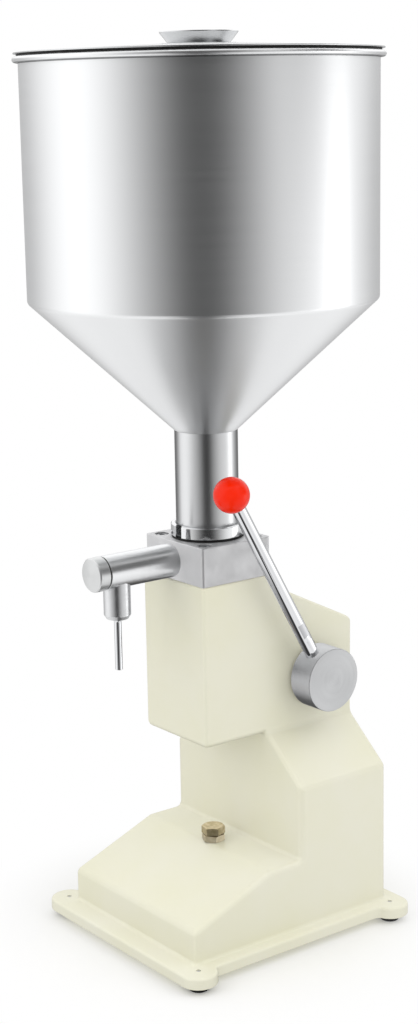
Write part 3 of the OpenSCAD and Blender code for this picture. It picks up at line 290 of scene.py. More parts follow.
def turned_lines(tree, place, line_mm, streak_mm, radius_mm, centre, turn):
    """Noise in fine lines round an axis, as turning or circular brushing leaves. Real lines are about 0.1 mm
    apart. They are drawn 1 to 2 mm apart, which is as fine as the picture shows."""
    local = add(tree, "ShaderNodeMapping", {"vector_type": "TEXTURE"}, {
        "Vector": place, "Location": [c * MM for c in centre],
        "Rotation": [math.radians(t) for t in turn]}).outputs[0]
    split = add(tree, "ShaderNodeSeparateXYZ", {}, {0: local})
    flat = add(tree, "ShaderNodeCombineXYZ", {}, {0: split.outputs[0], 1: split.outputs[1]}).outputs[0]
    out = add(tree, VECTOR, {"operation": "LENGTH"}, {0: flat}).outputs["Value"]
    around = add(tree, VECTOR, {"operation": "NORMALIZE"}, {0: flat}).outputs[0]
    around = add(tree, VECTOR, {"operation": "SCALE"}, {0: around, "Scale": radius_mm / streak_mm}).outputs[0]
    along = add(tree, MATH, {"operation": "ADD"}, {0: split.outputs[2], 1: out}).outputs[0]
    along = add(tree, MATH, {"operation": "MULTIPLY"}, {0: along, 1: grains(line_mm)}).outputs[0]
    lines = add(tree, "ShaderNodeCombineXYZ", {}, {2: along}).outputs[0]
    lines = add(tree, VECTOR, {"operation": "ADD"}, {0: around, 1: lines}).outputs[0]
    return add(tree, NOISE, {}, {"Vector": lines, "Scale": 1.0}).outputs[0]


def cream_enamel():
    """Stove enamel sprayed on a casting: soft gloss, a faint orange peel and slight waves of the cast skin.
    The enamel is slightly greener where it lies thick."""
    made, tree, shader, place = finish_of("stove_enamel_cream", "cream_enamel", "#EAE9D8", 0, 0.42,
                                          {"IOR": 1.48, "Coat Weight": 0.25, "Coat Roughness": 0.22})
    clouds = add(tree, NOISE, {}, {"Vector": place, "Scale": grains(55), "Detail": 3.0}).outputs[0]
    thick = add(tree, RANGE, {}, {0: clouds, 1: 0.3, 2: 0.7}).outputs[0]
    peel = add(tree, NOISE, {}, {"Vector": place, "Scale": grains(2.2), "Detail": 1.0}).outputs[0]
    skin = add(tree, NOISE, {}, {"Vector": place, "Scale": grains(14)}).outputs[0]
    height = add(tree, MATH, {"operation": "MULTIPLY_ADD"}, {0: skin, 1: 3.0, 2: peel}).outputs[0]
    dress(tree, shader, height, 0.05, 0.5, ("#E9E7D4", "#E7E5CD"), thick, (peel, 0.2, 0.8), (0.38, 0.48))
    return made


def lined_steel(name, slot, colour, roughness, stretch, depth_mm, spread, line_mm, streak_mm, radius_mm=100,
                axis=(0, 0, 1), centre=HERE, turn=HERE, tones_of=None):
    """Steel with fine lines round an axis. They blur a reflection across them, so light lies in bands."""
    made, tree, shader, place = finish_of(name, slot, colour, 1, roughness,
                                          {"Anisotropic": stretch, "Anisotropic Rotation": 0.25})
    lines = turned_lines(tree, place, line_mm, streak_mm, radius_mm, centre, turn)
    arm = add(tree, VECTOR, {"operation": "SUBTRACT"}, {0: place, 1: [c * MM for c in centre]}).outputs[0]
    along = add(tree, VECTOR, {"operation": "CROSS_PRODUCT"}, {0: axis, 1: arm}).outputs[0]
    tree.links.new(along, shader.inputs["Tangent"])
    second, share = tones_of(tree, place) if tones_of else (colour, 0)
    dress(tree, shader, lines, depth_mm, 0.2, (colour, second), share, (lines, 0.25, 0.75),
          (roughness - spread, roughness + spread))
    return made


def painted_rim_shade(tree, place):
    """Painted shade: a dark line in the crease under the bowl's rim."""
    height = add(tree, "ShaderNodeSeparateXYZ", {}, {0: place}).outputs["Z"]
    crease = {0: height, 1: CREASE_Z * MM, 2: 0.6 * MM}
    return "#8C8D8E", add(tree, MATH, {"operation": "COMPARE"}, crease).outputs[0]


def painted_edge_shade(tree, place):
    """Painted shade: the tube is painted darker where it is seen edge on."""
    facing = add(tree, "ShaderNodeLayerWeight", {}, {"Blend": 0.5}).outputs["Facing"]
    return "#5C5D5E", add(tree, RANGE, {}, {0: facing, 1: 0.42, 2: 0.75}).outputs[0]


def brushed_steel(name, slot, colour, roughness, stretch, line_mm, streak_mm, tones_of=None):
    """Stainless sheet brushed round Z, so that light stands on it in upright bands."""
    return lined_steel(name, slot, colour, roughness, stretch, 0.002, 0.02, line_mm, streak_mm,
                       tones_of=tones_of)


def turned_steel(name, colour, roughness, stretch, axis, centre, turn):
    """Stainless steel off the lathe, its fine rings running round the axis, satin to the eye."""
    return lined_steel(name, "satin_steel", colour, roughness, stretch, 0.001, 0.04, 1.5, 40, 25,
                       axis, centre, turn)


def grained_metal(name, slot, colour, roughness, grain_mm, depth_mm, second=None, patch_mm=12):
    """Metal with an even grain, from blasting, tumbling, plating or a fine polish. The real grain is 0.1 mm
    or less, and it is drawn about 1 mm across, or 3 mm in chrome, to show at all."""
    made, tree, shader, place = finish_of(name, slot, colour, 1, roughness)
    grain = add(tree, NOISE, {}, {"Vector": place, "Scale": grains(grain_mm)}).outputs[0]
    patches = add(tree, NOISE, {}, {"Vector": place, "Scale": grains(patch_mm), "Detail": 3.0}).outputs[0]
    share = add(tree, RANGE, {}, {0: patches, 1: 0.3, 2: 0.7}).outputs[0]
    dress(tree, shader, grain, depth_mm, 0.35, (colour, second or colour), share, (patches, 0.25, 0.75),
          (roughness * 0.85, roughness * 1.15))
    return made


def milled_chrome(name, colour, milled_colour):
    """Hard chrome on the lever rod, mirror bright. Its two wrench flats were milled after plating, so they
    are duller and greyer."""
    made, tree, shader, place = finish_of(name, "polished_steel", colour, 1, 0.06)
    waves = add(tree, NOISE, {}, {"Vector": place, "Scale": grains(3)}).outputs[0]
    lean = math.radians(LEVER_TURN[0])
    arm = add(tree, VECTOR, {"operation": "SUBTRACT"}, {0: place, 1: [c * MM for c in LEVER_AT]}).outputs[0]
    along = add(tree, VECTOR, {"operation": "DOT_PRODUCT"},
                {0: arm, 1: (0, -math.sin(lean), math.cos(lean))}).outputs["Value"]
    off = add(tree, "ShaderNodeSeparateXYZ", {}, {0: arm}).outputs["X"]
    off = add(tree, MATH, {"operation": "ABSOLUTE"}, {0: off}).outputs[0]
    flat = add(tree, MATH, {"operation": "COMPARE"}, {0: off, 1: FLAT_OFF * MM, 2: 0.03 * MM}).outputs[0]
    middle, half = (FLAT_LOW + FLAT_HIGH) / 2 * MM, (FLAT_HIGH - FLAT_LOW) / 2 * MM
    span = add(tree, MATH, {"operation": "COMPARE"}, {0: along, 1: middle, 2: half}).outputs[0]
    milled = add(tree, MATH, {"operation": "MULTIPLY"}, {0: flat, 1: span}).outputs[0]
    dress(tree, shader, waves, 0.001, 0.35, (colour, milled_colour), milled, (milled, 0, 1), (0.06, 0.3))
    return made


def black_rubber():
    """Moulded nitrile rubber: matt black, with a dusty bloom in patches."""
    made, tree, shader, place = finish_of("moulded_rubber_black", "black_rubber", "#141414", 0, 0.7,
                                          {"IOR": 1.5})
    bloom = add(tree, NOISE, {}, {"Vector": place, "Scale": grains(5), "Detail": 3.0}).outputs[0]
    bloom = add(tree, RANGE, {}, {0: bloom, 1: 0.35, 2: 0.75}).outputs[0]
    skin = add(tree, NOISE, {}, {"Vector": place, "Scale": grains(0.8)}).outputs[0]
    dress(tree, shader, skin, 0.02, 0.4, ("#111111", "#1E1D1C"), bloom)
    return made


def red_plastic():
    """Polished phenolic ball: deep orange red, glossy, with faint flow waves from the mould."""
    made, tree, shader, place = finish_of("phenolic_red", "red_plastic", "#F42A12", 0, 0.2,
                                          {"IOR": 1.42, "Specular IOR Level": 0.3})
    flow = add(tree, NOISE, {}, {"Vector": place, "Scale": grains(9)}).outputs[0]
    dress(tree, shader, flow, 0.02, 0.3, ("#F92400", "#FC2B02"), flow)
    return made


ENAMEL = cream_enamel()
# The bowl's second tone is painted shade: a dark line in the crease under its rim.
BOWL_STEEL = brushed_steel("brushed_stainless_bowl", "hopper_steel", "#F2F3F4", 0.32, stretch=0.5,
                           line_mm=1.8, streak_mm=90, tones_of=painted_rim_shade)
# The neck's second tone is painted shade, darker where the tube is seen edge on.
NECK_STEEL = brushed_steel("brushed_stainless_neck", "hopper_steel", "#DCDDDE", 0.3, stretch=0.8,
                           line_mm=1.6, streak_mm=60, tones_of=painted_edge_shade)
LID_STEEL = brushed_steel("pressed_stainless_lid", "polished_steel", "#DDDEDF", 0.2, stretch=0.5,
                          line_mm=2, streak_mm=60)
RING_STEEL = brushed_steel("polished_stainless_ring", "polished_steel", "#DFE0E1", 0.12, stretch=0.3,
                           line_mm=1, streak_mm=40)
BLOCK_STEEL = grained_metal("blasted_stainless_block", "satin_steel", "#DEDEDF", 0.6, grain_mm=0.9,
                            depth_mm=0.03)
TUBE_STEEL = turned_steel("turned_stainless_tube", "#E9EAEB", 0.32, 0.5, (0, 1, 0), OUTLET_AT, TO_FRONT)
SOCKET_STEEL = turned_steel("turned_stainless_socket", "#DEDFE0", 0.32, 0.8, (0, 0, 1), NOZZLE_AT, HERE)
CAP_STEEL = turned_steel("turned_stainless_cap", "#DDDEDE", 0.4, 0.6, (0, 1, 0), OUTLET_AT, TO_FRONT)
HUB_STEEL = turned_steel("turned_stainless_hub", "#CBCCCD", 0.5, 0.3, (1, 0, 0), SHAFT_AT, TO_RIGHT)
CHROME = grained_metal("hard_chrome", "polished_steel", "#E3E4E6", 0.07, grain_mm=3, depth_mm=0.001)
LEVER_CHROME = milled_chrome("lever_chrome", "#E3E4E6", "#BDBEC0")
SCREW_STEEL = grained_metal("screw_steel", "screw_steel", "#A9AAAC", 0.32, grain_mm=0.8, depth_mm=0.02)
BOLT_NICKEL = grained_metal("nickel_plate_worn", "zinc_plate", "#D6C8A2", 0.55, grain_mm=1.2, depth_mm=0.01,
                            second="#BCAE86", patch_mm=4)
NUT_NICKEL = grained_metal("nickel_plate_warm", "zinc_plate", "#E6DABB", 0.48, grain_mm=1.2, depth_mm=0.01,
                           second="#D8CBA8", patch_mm=4)
BRONZE = grained_metal("sintered_bronze", "bush_bronze", "#9C7B4A", 0.4, grain_mm=0.6, depth_mm=0.03)
RUBBER = black_rubber()
RED = red_plastic()


# Shapes

def outline(points, steps=4):
    """A closed outline in mm. A point's third number is the radius that eases its corner."""
    out = []
    for i, point in enumerate(points):
        here = Vector(point[:2])
        if len(point) < 3:
            out.append(here)
            continue
        back = (Vector(points[i - 1][:2]) - here).normalized()
        on = (Vector(points[(i + 1) % len(points)][:2]) - here).normalized()
        half = math.acos(max(-1, min(1, back.dot(on)))) / 2
        centre = here + (back + on).normalized() * point[2] / math.sin(half)
        start = here + back * point[2] / math.tan(half) - centre
        end = here + on * point[2] / math.tan(half) - centre
        first = math.atan2(start.y, start.x)
        turn = math.atan2(start.x * end.y - start.y * end.x, start.dot(end))
        for k in range(steps + 1):
            angle = first + turn * k / steps
            out.append(centre + Vector((math.cos(angle), math.sin(angle))) * point[2])
    return out


def arc(centre, radius, start, end, steps):
    """Points of an arc in mm, between two angles in degrees."""
    angles = [math.radians(start + (end - start) * i / steps) for i in range(steps + 1)]
    return [(centre[0] + radius * math.cos(a), centre[1] + radius * math.sin(a)) for a in angles]


def shape_tree(name, inputs, output):
    """A geometry node tree with its inputs, by name and kind, and with the one shape that it makes."""
    tree = bpy.data.node_groups.new(name, "GeometryNodeTree")
    for key, kind in inputs.items():
        tree.interface.new_socket(name=key, in_out="INPUT", socket_type="NodeSocket" + kind)
    tree.interface.new_socket(name=output, in_out="OUTPUT", socket_type="NodeSocketGeometry")
    return tree, add(tree, "NodeGroupInput").outputs


def put_out(tree, shape, finish, output):
    """Ends a tree: its shape goes out in its finish."""
    whole = add(tree, "GeometryNodeRealizeInstances", {}, {"Geometry": shape}).outputs[0]
    dressed = add(tree, "GeometryNodeSetMaterial", {}, {"Geometry": whole, "Material": finish}).outputs[0]
    add(tree, "NodeGroupOutput", {}, {output: dressed})
    return tree


def lathe_tree():
    """Turns an outline, which comes in as a chain of points in the XZ plane, round the Z axis."""
    tree, given = shape_tree("lathe", {"Outline": "Geometry", "Sides": "Int", "Finish": "Material"}, "Turned")
    count = add(tree, "GeometryNodeAttributeDomainSize", {"component": "MESH"},
                {0: given["Outline"]}).outputs["Point Count"]
    across = add(tree, MATH, {"operation": "ADD"}, {0: given["Sides"], 1: 1}).outputs[0]
    grid = add(tree, "GeometryNodeMeshGrid", {}, {"Vertices X": count, "Vertices Y": across}).outputs["Mesh"]
    index = add(tree, "GeometryNodeInputIndex").outputs[0]
    row = add(tree, MATH, {"operation": "DIVIDE"}, {0: index, 1: across}).outputs[0]
    row = add(tree, MATH, {"operation": "FLOOR"}, {0: row}).outputs[0]
    step = add(tree, MATH, {"operation": "MODULO"}, {0: index, 1: across}).outputs[0]
    point = add(tree, "GeometryNodeSampleIndex", {"data_type": "FLOAT_VECTOR", "domain": "POINT"}, {
        "Geometry": given["Outline"], "Value": add(tree, "GeometryNodeInputPosition").outputs[0],
        "Index": row}).outputs[0]
    angle = add(tree, MATH, {"operation": "DIVIDE"}, {0: step, 1: given["Sides"]}).outputs[0]
    angle = add(tree, MATH, {"operation": "MULTIPLY"}, {0: angle, 1: math.tau}).outputs[0]
    place = add(tree, "ShaderNodeVectorRotate", {"rotation_type": "Z_AXIS"},
                {"Vector": point, "Angle": angle}).outputs[0]
    shaped = add(tree, "GeometryNodeSetPosition", {}, {"Geometry": grid, "Position": place}).outputs[0]
    closed = add(tree, "GeometryNodeMergeByDistance", {}, {"Geometry": shaped, "Distance": 1e-6}).outputs[0]
    return put_out(tree, closed, given["Finish"], "Turned")


def copies_tree():
    """Sets a copy of an item on each point that comes in."""
    inputs = {"Points": "Geometry", "Item": "Object", "Finish": "Material"}
    tree, given = shape_tree("copies", inputs, "Copies")
    item = add(tree, "GeometryNodeObjectInfo", {},
               {"Object": given["Item"], "As Instance": True}).outputs["Geometry"]
    spots = add(tree, "GeometryNodeMeshToPoints", {}, {"Mesh": given["Points"]}).outputs[0]
    placed = add(tree, "GeometryNodeInstanceOnPoints", {}, {"Points": spots, "Instance": item}).outputs[0]
    return put_out(tree, placed, given["Finish"], "Copies")


LATHE = lathe_tree()
COPIES = copies_tree()
EDGE_FROM = math.radians(8)        # faces that meet at less aren't an edge to round
SHARP_FROM = math.radians(32)      # faces that meet at less are shaded as one surface


def stand(mesh):
    """An object that carries a mesh for a while."""
    holder = bpy.data.objects.new("shape", mesh)
    scene.collection.objects.link(holder)
    return holder


def settle(holder, *helpers):
    """The mesh that an object's modifiers make. The object and its helpers go."""
    seen = bpy.context.evaluated_depsgraph_get()
    made = bpy.data.meshes.new_from_object(holder.evaluated_get(seen), preserve_all_data_layers=True,
                                           depsgraph=seen)
    for gone in (holder, *helpers):
        bpy.data.objects.remove(gone)
    return made


def grow(tree, mesh, values, *helpers):
    """What a geometry node tree makes of a mesh, with its named inputs set."""
    holder = stand(mesh)
    modifier = holder.modifiers.new("grow", "NODES")
    modifier.node_group = tree
    for item in tree.interface.items_tree:
        if item.in_out == "INPUT" and item.name in values:
            modifier[item.identifier] = values[item.name]
    return settle(holder, *helpers)


def turned(points, sides, finish=None, eased_steps=4):
    """A solid turned round Z. The outline is in mm, as radius and height."""
    ring = outline(points, eased_steps)
    area = sum(a.x * b.y - b.x * a.y for a, b in zip(ring, ring[1:] + ring[:1]))
    if area > 0:
        ring.reverse()
    on_axis = [i for i, p in enumerate(ring) if max(p.x, ring[i - 1].x) < 1e-9]
    ring = ring[on_axis[0]:] + ring[:on_axis[0]] if on_axis else ring + ring[:1]
    mesh = bpy.data.meshes.new("outline")
    mesh.from_pydata([(p.x * MM, 0, p.y * MM) for p in ring], [(i, i + 1) for i in range(len(ring) - 1)], [])
    return grow(LATHE, mesh, {"Sides": sides, "Finish": finish})


def tube(inner, outer, low, high, sides, finish=None):
    """A plain tube on Z, from its two radii and the heights of its ends."""
    return turned([(inner, low), (outer, low), (outer, high), (inner, high)], sides, finish)


def cylinder(radius, low, high, sides):
    """A plain cylinder on Z."""
    return tube(0, radius, low, high, sides)


def copies(mesh, places, finish=None):
    """Copies of a mesh at places in mm."""
    points = bpy.data.meshes.new("places")
    points.from_pydata([[c * MM for c in p] for p in places], [], [])
    item = stand(mesh)
    return grow(COPIES, points, {"Item": item, "Finish": finish}, item)


def moved(mesh, place, turn=HERE):
    """Turns a mesh, with angles in degrees, and puts it at a place in mm."""
    mesh.transform(Matrix.Translation([c * MM for c in place]) @
                   Matrix.Rotation(math.radians(turn[2]), 4, "Z") @
                   Matrix.Rotation(math.radians(turn[1]), 4, "Y") @
                   Matrix.Rotation(math.radians(turn[0]), 4, "X"))
    return mesh


def from_faces(points, faces):
    """A mesh from points in mm and the faces between them."""
    mesh = bpy.data.meshes.new("faces")
    mesh.from_pydata([[c * MM for c in p] for p in points], [], faces)
    mesh.update()
    return mesh


def faced_outward(mesh):
    """Turns every face of a closed mesh outward."""
    bm = bmesh.new()
    bm.from_mesh(mesh)
    bmesh.ops.recalc_face_normals(bm, faces=bm.faces)
    bm.to_mesh(mesh)
    bm.free()
    return mesh


def slab(ring, low, high):
    """A prism of an outline in the XY plane."""
    n = len(ring)
    points = [(p[0], p[1], low) for p in ring] + [(p[0], p[1], high) for p in ring]
    faces = [list(range(n))[::-1], list(range(n, 2 * n))]
    faces += [[i, (i + 1) % n, n + (i + 1) % n, n + i] for i in range(n)]
    return from_faces(points, faces)


def box(low, high):
    """A box between two corners."""
    ring = [(low[0], low[1]), (high[0], low[1]), (high[0], high[1]), (low[0], high[1])]
    return slab(ring, low[2], high[2])


def plate(half_x, half_y, corner_r, low, high, steps=4):
    """A plate with rounded corners, lying on Z."""
    signs = ((-1, -1), (1, -1), (1, 1), (-1, 1))
    return slab(outline([(half_x * x, half_y * y, corner_r) for x, y in signs], steps), low, high)


def combine(mesh, others, operation="DIFFERENCE"):
    """Takes other solids from a solid, adds them to it, or keeps what they share."""
    holder = stand(mesh)
    helpers = []
    for other in others:
        helpers.append(stand(other))
        modifier = holder.modifiers.new("combine", "BOOLEAN")
        modifier.operation = operation
        modifier.solver = "EXACT"
        modifier.object = helpers[-1]
    return settle(holder, *helpers)


def edges_eased(mesh, width_of, widest, segments=4):
    """Rounds edges. width_of gives an edge's width in mm from its two ends in mm, at most the widest."""
    bm = bmesh.new()
    bm.from_mesh(mesh)
    bm.normal_update()
    weight = bm.edges.layers.float.new("bevel_weight_edge")
    for edge in bm.edges:
        if len(edge.link_faces) == 2 and edge.calc_face_angle() > EDGE_FROM:
            edge[weight] = width_of(*[v.co / MM for v in edge.verts]) / widest
    bm.to_mesh(mesh)
    bm.free()
    holder = stand(mesh)
    bevel = holder.modifiers.new("ease", "BEVEL")
    bevel.limit_method = "WEIGHT"
    bevel.width = widest * MM
    bevel.segments = segments
    bevel.miter_outer = "MITER_ARC"
    return settle(holder)


def piece(name, mesh, finish, body, *nodes):
    """A finished piece, which rides on a CAD body and stands for the CAD nodes."""
    mesh.materials.clear()
    mesh.materials.append(finish)
    mesh.polygons.foreach_set("material_index", [0] * len(mesh.polygons))
    mesh.shade_smooth()
    mesh.set_sharp_from_angle(angle=SHARP_FROM)
    holder = stand(mesh)
    normals = holder.modifiers.new("normals", "WEIGHTED_NORMAL")
    normals.keep_sharp = True
    mesh = settle(holder)
    mesh.name = name
    made = bpy.data.objects.new(name, mesh)
    scene.collection.objects.link(made)
    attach(made, body)
    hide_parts(*nodes)
    return made


# Casting. Bosses and bores are given as a radius and the places of their two ends.

BASE_HALF, HEAD_HALF = 87, 42
FLANGE_FOOT, FLANGE_TOP = 6, 16
SHOULDER_Z, HEAD_Z, TOP_Z, STEP_Z, REAR_TOP_Z = 140, 178, 316, 307, 263
FRONT_Y, BACK_Y, COLUMN_Y, PLATFORM_Y = -87, 124, 27, -7
LIP_Z, PLATFORM_Z = 45, 76
HEAD_FRONT, HEAD_REAR = 38, 36
WALL, ROOF = 7, 10
FLANGE_HALF, LOBE_R, LOBE_NECK_R = 98, 16, 5
LOBE_STEPS, LOBE_NECK_STEPS = 24, 8
FOOT_X, FOOT_FRONT_Y, FOOT_REAR_Y = 95, -90, 121
FOOT_PLACES = [(x, y, 0) for x in (-FOOT_X, FOOT_X) for y in (FOOT_FRONT_Y, FOOT_REAR_Y)]
BLOCK_SCREWS = [(x, y, 0) for x in (-30, 30) for y in (-26, 26)]
COVER_SCREWS = [(x, 0, z) for x in (-28, 28) for z in (157.5, 245.5)]
SHAFT_BOSS, GUIDE_BOSS, BOLT_BOSS = (20, 29, 39), (16, 181, 188), (13, 57, 73)
SHAFT_BORE, GUIDE_BORE, BOLT_BORE = (14.05, -43, 43), (12.05, 177, 189), (6.05, 56, 77)
PUMP_WAY_R, PUMP_SEAT_R, PUMP_SEAT_Z, PUMP_CUT = 23.3, 29.3, 310, (305, 317)
BLOCK_SCREW_HOLE, FOOT_SCREW_HOLE = (3.05, 305, 317), (2.05, 5, 17)
COVER_SCREW_HOLE, COVER_PLATE_HOLE = (2.05, 116, 125), (2.05, 123, 128)
COVER_Z = 201.5
COVER_HALF_X, COVER_HALF_Z, COVER_THICK, COVER_CORNER_R = 34, 50, 3, 5
OPENING_HALF_X, OPENING_HALF_Z, OPENING_DEPTH = 22, 38, 9
EASE_UNDERSIDE, EASE_FLANGE, EASE_WEDGE_FOOT, EASE_TOP = 0.8, 2.2, 3.2, 1.6
EASE_COLUMN, EASE_SHOULDER, EASE_PLATFORM, EASE_UPRIGHT, EASE_WIDEST = 3.5, 3, 2.5, 3, 5
NEAR = 1    # how close an edge's ends lie to the place that names it


def stepped_body(rim, low_z, high_z, wide, narrow, closed):
    """A solid whose outline in the YZ plane is rim. It is wide up to low_z and narrow from high_z."""
    half = [wide if z <= low_z else narrow for y, z in rim]
    n = len(rim)
    points = [(-h, y, z) for h, (y, z) in zip(half, rim)] + [(h, y, z) for h, (y, z) in zip(half, rim)]
    faces = [[i, n + i, n + i + 1, i + 1] for i in range(n - 1)]
    facing = {low_z: high_z, high_z: low_z}
    low = [i for i, (y, z) in enumerate(rim) if z <= low_z]
    high = [i for i, (y, z) in enumerate(rim) if z >= high_z]
    slope = [i for i, (y, z) in enumerate(rim) if z in facing and (y, facing[z]) in rim]
    faces += [[n + i for i in group][::-1] for group in (low, slope, high)]
    faces += [list(group) for group in (low, slope, high)]
    if closed:
        faces.append([n - 1, 2 * n - 1, n, 0])
    return points, faces


def flange_ring():
    """The outline of the flange, with a lobe round each foot."""
    neck_x = FLANGE_HALF + LOBE_NECK_R
    rise = math.sqrt((LOBE_R + LOBE_NECK_R) ** 2 - (neck_x - FOOT_X) ** 2)
    lean = math.degrees(math.atan2(rise, neck_x - FOOT_X))
    lobe = arc((FOOT_X, 0), LOBE_R, -90, lean, LOBE_STEPS)
    lobe += arc((neck_x, rise), LOBE_NECK_R, 180 + lean, 180, LOBE_NECK_STEPS)[1:]
    right = [(x, FOOT_FRONT_Y + y) for x, y in lobe] + [(x, FOOT_REAR_Y - y) for x, y in lobe[::-1]]
    return right + [(-x, y) for x, y in right[::-1]]


def casting_edge(a, b):
    """Width in mm of the rounding of a casting's edge, from its two ends."""
    low, high = sorted((a.z, b.z))
    front, rear = sorted((a.y, b.y))
    out = max(abs(a.x), abs(b.x))
    upright = high - low > NEAR

    def both_at(place, first, last):
        return abs(first - place) < NEAR and abs(last - place) < NEAR
    if high < FLANGE_FOOT + NEAR:
        return EASE_UNDERSIDE
    if high <= FLANGE_TOP + NEAR:
        if out < BASE_HALF + NEAR and front > FRONT_Y - NEAR and rear < BACK_Y + NEAR:
            return EASE_WEDGE_FOOT
        return 0 if upright else EASE_FLANGE
    if low > TOP_Z - NEAR or (low > STEP_Z - NEAR and front > HEAD_REAR - NEAR):
        return EASE_TOP
    if both_at(COLUMN_Y, front, rear) and not upright:
        return EASE_COLUMN
    if both_at(HEAD_Z, low, high) and front > COLUMN_Y - NEAR or both_at(SHOULDER_Z, low, high):
        return EASE_SHOULDER
    if both_at(PLATFORM_Z, low, high) and both_at(PLATFORM_Y, front, rear):
        return EASE_PLATFORM
    if upright and (out < HEAD_HALF + NEAR or rear < FRONT_Y + NEAR):
        return EASE_UPRIGHT
    return EASE_WIDEST


def casting_skin():
    """The outside of the casting, which stands on its flange. The flange's top is four faces, one on each side
    between its outline and the body."""
    rim = [(FRONT_Y, FLANGE_TOP), (FRONT_Y, LIP_Z), (PLATFORM_Y, PLATFORM_Z), (COLUMN_Y, PLATFORM_Z),
           (COLUMN_Y, SHOULDER_Z), (COLUMN_Y, HEAD_Z), (-HEAD_FRONT, HEAD_Z), (-HEAD_FRONT, TOP_Z),
           (HEAD_REAR, TOP_Z), (HEAD_REAR, STEP_Z), (BACK_Y, REAR_TOP_Z), (BACK_Y, HEAD_Z),
           (BACK_Y, SHOULDER_Z), (BACK_Y, FLANGE_TOP)]
    points, faces = stepped_body(rim, SHOULDER_Z, HEAD_Z, BASE_HALF, HEAD_HALF, False)
    n, last = len(rim), len(rim) - 1
    corners = [n, n + last, last, 0]
    ring = flange_ring()
    top = len(points)
    count = len(ring)
    foot = top + count
    points += [(x, y, FLANGE_TOP) for x, y in ring] + [(x, y, FLANGE_FOOT) for x, y in ring]
    faces += [[top + i, top + (i + 1) % count, foot + (i + 1) % count, foot + i] for i in range(count)]
    faces.append([foot + i for i in range(count)])
    side_ends = [0, count // 2 - 1, count // 2, count - 1]
    for k, first in enumerate(side_ends):
        second = side_ends[(k + 1) % 4]
        span = list(range(first, second + 1))
        if second < first:
            span = list(range(first, count)) + list(range(second + 1))
        faces.append([top + i for i in span] + [corners[(k + 1) % 4], corners[k]])
    return edges_eased(faced_outward(from_faces(points, faces)), casting_edge, EASE_WIDEST)


def casting_hollow():
    """The room inside the casting, one wall within its outside and open underneath."""
    side_slope = (HEAD_Z - SHOULDER_Z) / (BASE_HALF - HEAD_HALF)
    drop = WALL * (math.sqrt(1 + side_slope ** 2) - side_slope)
    top_slope = (STEP_Z - REAR_TOP_Z) / (BACK_Y - HEAD_REAR)
    skin = WALL * math.sqrt(1 + top_slope ** 2)
    low, high = SHOULDER_Z - drop, HEAD_Z - drop
    under, roof = FLANGE_FOOT - 1, TOP_Z - ROOF
    front, back, column = FRONT_Y + WALL, BACK_Y - WALL, COLUMN_Y + WALL
    head_front, head_rear = -HEAD_FRONT + WALL, HEAD_REAR - WALL
    rim = [(front, under), (front, LIP_Z - WALL), (PLATFORM_Y, PLATFORM_Z - WALL),
           (column, PLATFORM_Z - WALL), (column, low), (column, high), (column, HEAD_Z + WALL),
           (head_front, HEAD_Z + WALL), (head_front, roof), (head_rear, roof), (HEAD_REAR, STEP_Z - skin),
           (back, REAR_TOP_Z + WALL * top_slope - skin), (back, high), (back, low), (back, under)]
    return faced_outward(from_faces(*stepped_body(rim, low, high, BASE_HALF - WALL, HEAD_HALF - WALL, True)))


def casting_mesh():
    bosses = [moved(cylinder(*SHAFT_BOSS, 48), SHAFT_AT, TO_RIGHT),
              moved(cylinder(*SHAFT_BOSS, 48), SHAFT_AT, TO_LEFT),
              cylinder(*GUIDE_BOSS, 48), cylinder(*BOLT_BOSS, 48)]
    cut_from, cut_to = PUMP_CUT
    pump_way = turned([(0, cut_from), (PUMP_WAY_R, cut_from), (PUMP_WAY_R, PUMP_SEAT_Z),
                       (PUMP_SEAT_R, PUMP_SEAT_Z), (PUMP_SEAT_R, cut_to), (0, cut_to)], 64)
    opening = plate(OPENING_HALF_X, OPENING_HALF_Z, COVER_CORNER_R, -1, OPENING_DEPTH)
    cuts = [moved(cylinder(*SHAFT_BORE, 64), SHAFT_AT, TO_RIGHT),
            cylinder(*GUIDE_BORE, 64), cylinder(*BOLT_BORE, 48), pump_way,
            copies(cylinder(*BLOCK_SCREW_HOLE, 24), BLOCK_SCREWS),
            copies(cylinder(*FOOT_SCREW_HOLE, 24), FOOT_PLACES),
            moved(opening, (0, BACK_Y + 1, COVER_Z), TO_FRONT),
            copies(moved(cylinder(*COVER_SCREW_HOLE, 16), HERE, TO_REAR), COVER_SCREWS)]
    shell = combine(casting_skin(), [casting_hollow()])
    return combine(combine(shell, bosses, "UNION"), cuts)


casting = piece("casting", casting_mesh(), ENAMEL, "machine", "body_casting")
casting.visible_glossy = False

cover = plate(COVER_HALF_X, COVER_HALF_Z, COVER_CORNER_R, 0, COVER_THICK, 6)
cover = edges_eased(cover, lambda a, b: 0.8 if min(a.z, b.z) > COVER_THICK - NEAR else 0, 1, 3)
cover = moved(cover, (0, BACK_Y, COVER_Z), TO_REAR)
cover_holes = copies(moved(cylinder(*COVER_PLATE_HOLE, 16), HERE, TO_REAR), COVER_SCREWS)
piece("cover_plate", combine(cover, [cover_holes]), ENAMEL, "machine", "rear_cover")

foot_rim = [(2.1, 3.4), (3.85, 3.4), (3.85, 0, 0.3), (7.6, 0, 0.6), (9, 2, 0.8), (9, 6), (2.1, 6)]
piece("rubber_feet", copies(turned(foot_rim, 48), FOOT_PLACES, RUBBER), RUBBER, "machine",
      "foot_front_left", "foot_front_right", "foot_rear_left", "foot_rear_right")
foot_screw = turned([(0, 1), (3.8, 1, 0.5), (3.8, 3.4), (2, 3.4), (2, 15, 0.4), (0, 15)], 32)
piece("foot_bolts", copies(foot_screw, FOOT_PLACES, SCREW_STEEL), SCREW_STEEL, "machine", "foot_screws")

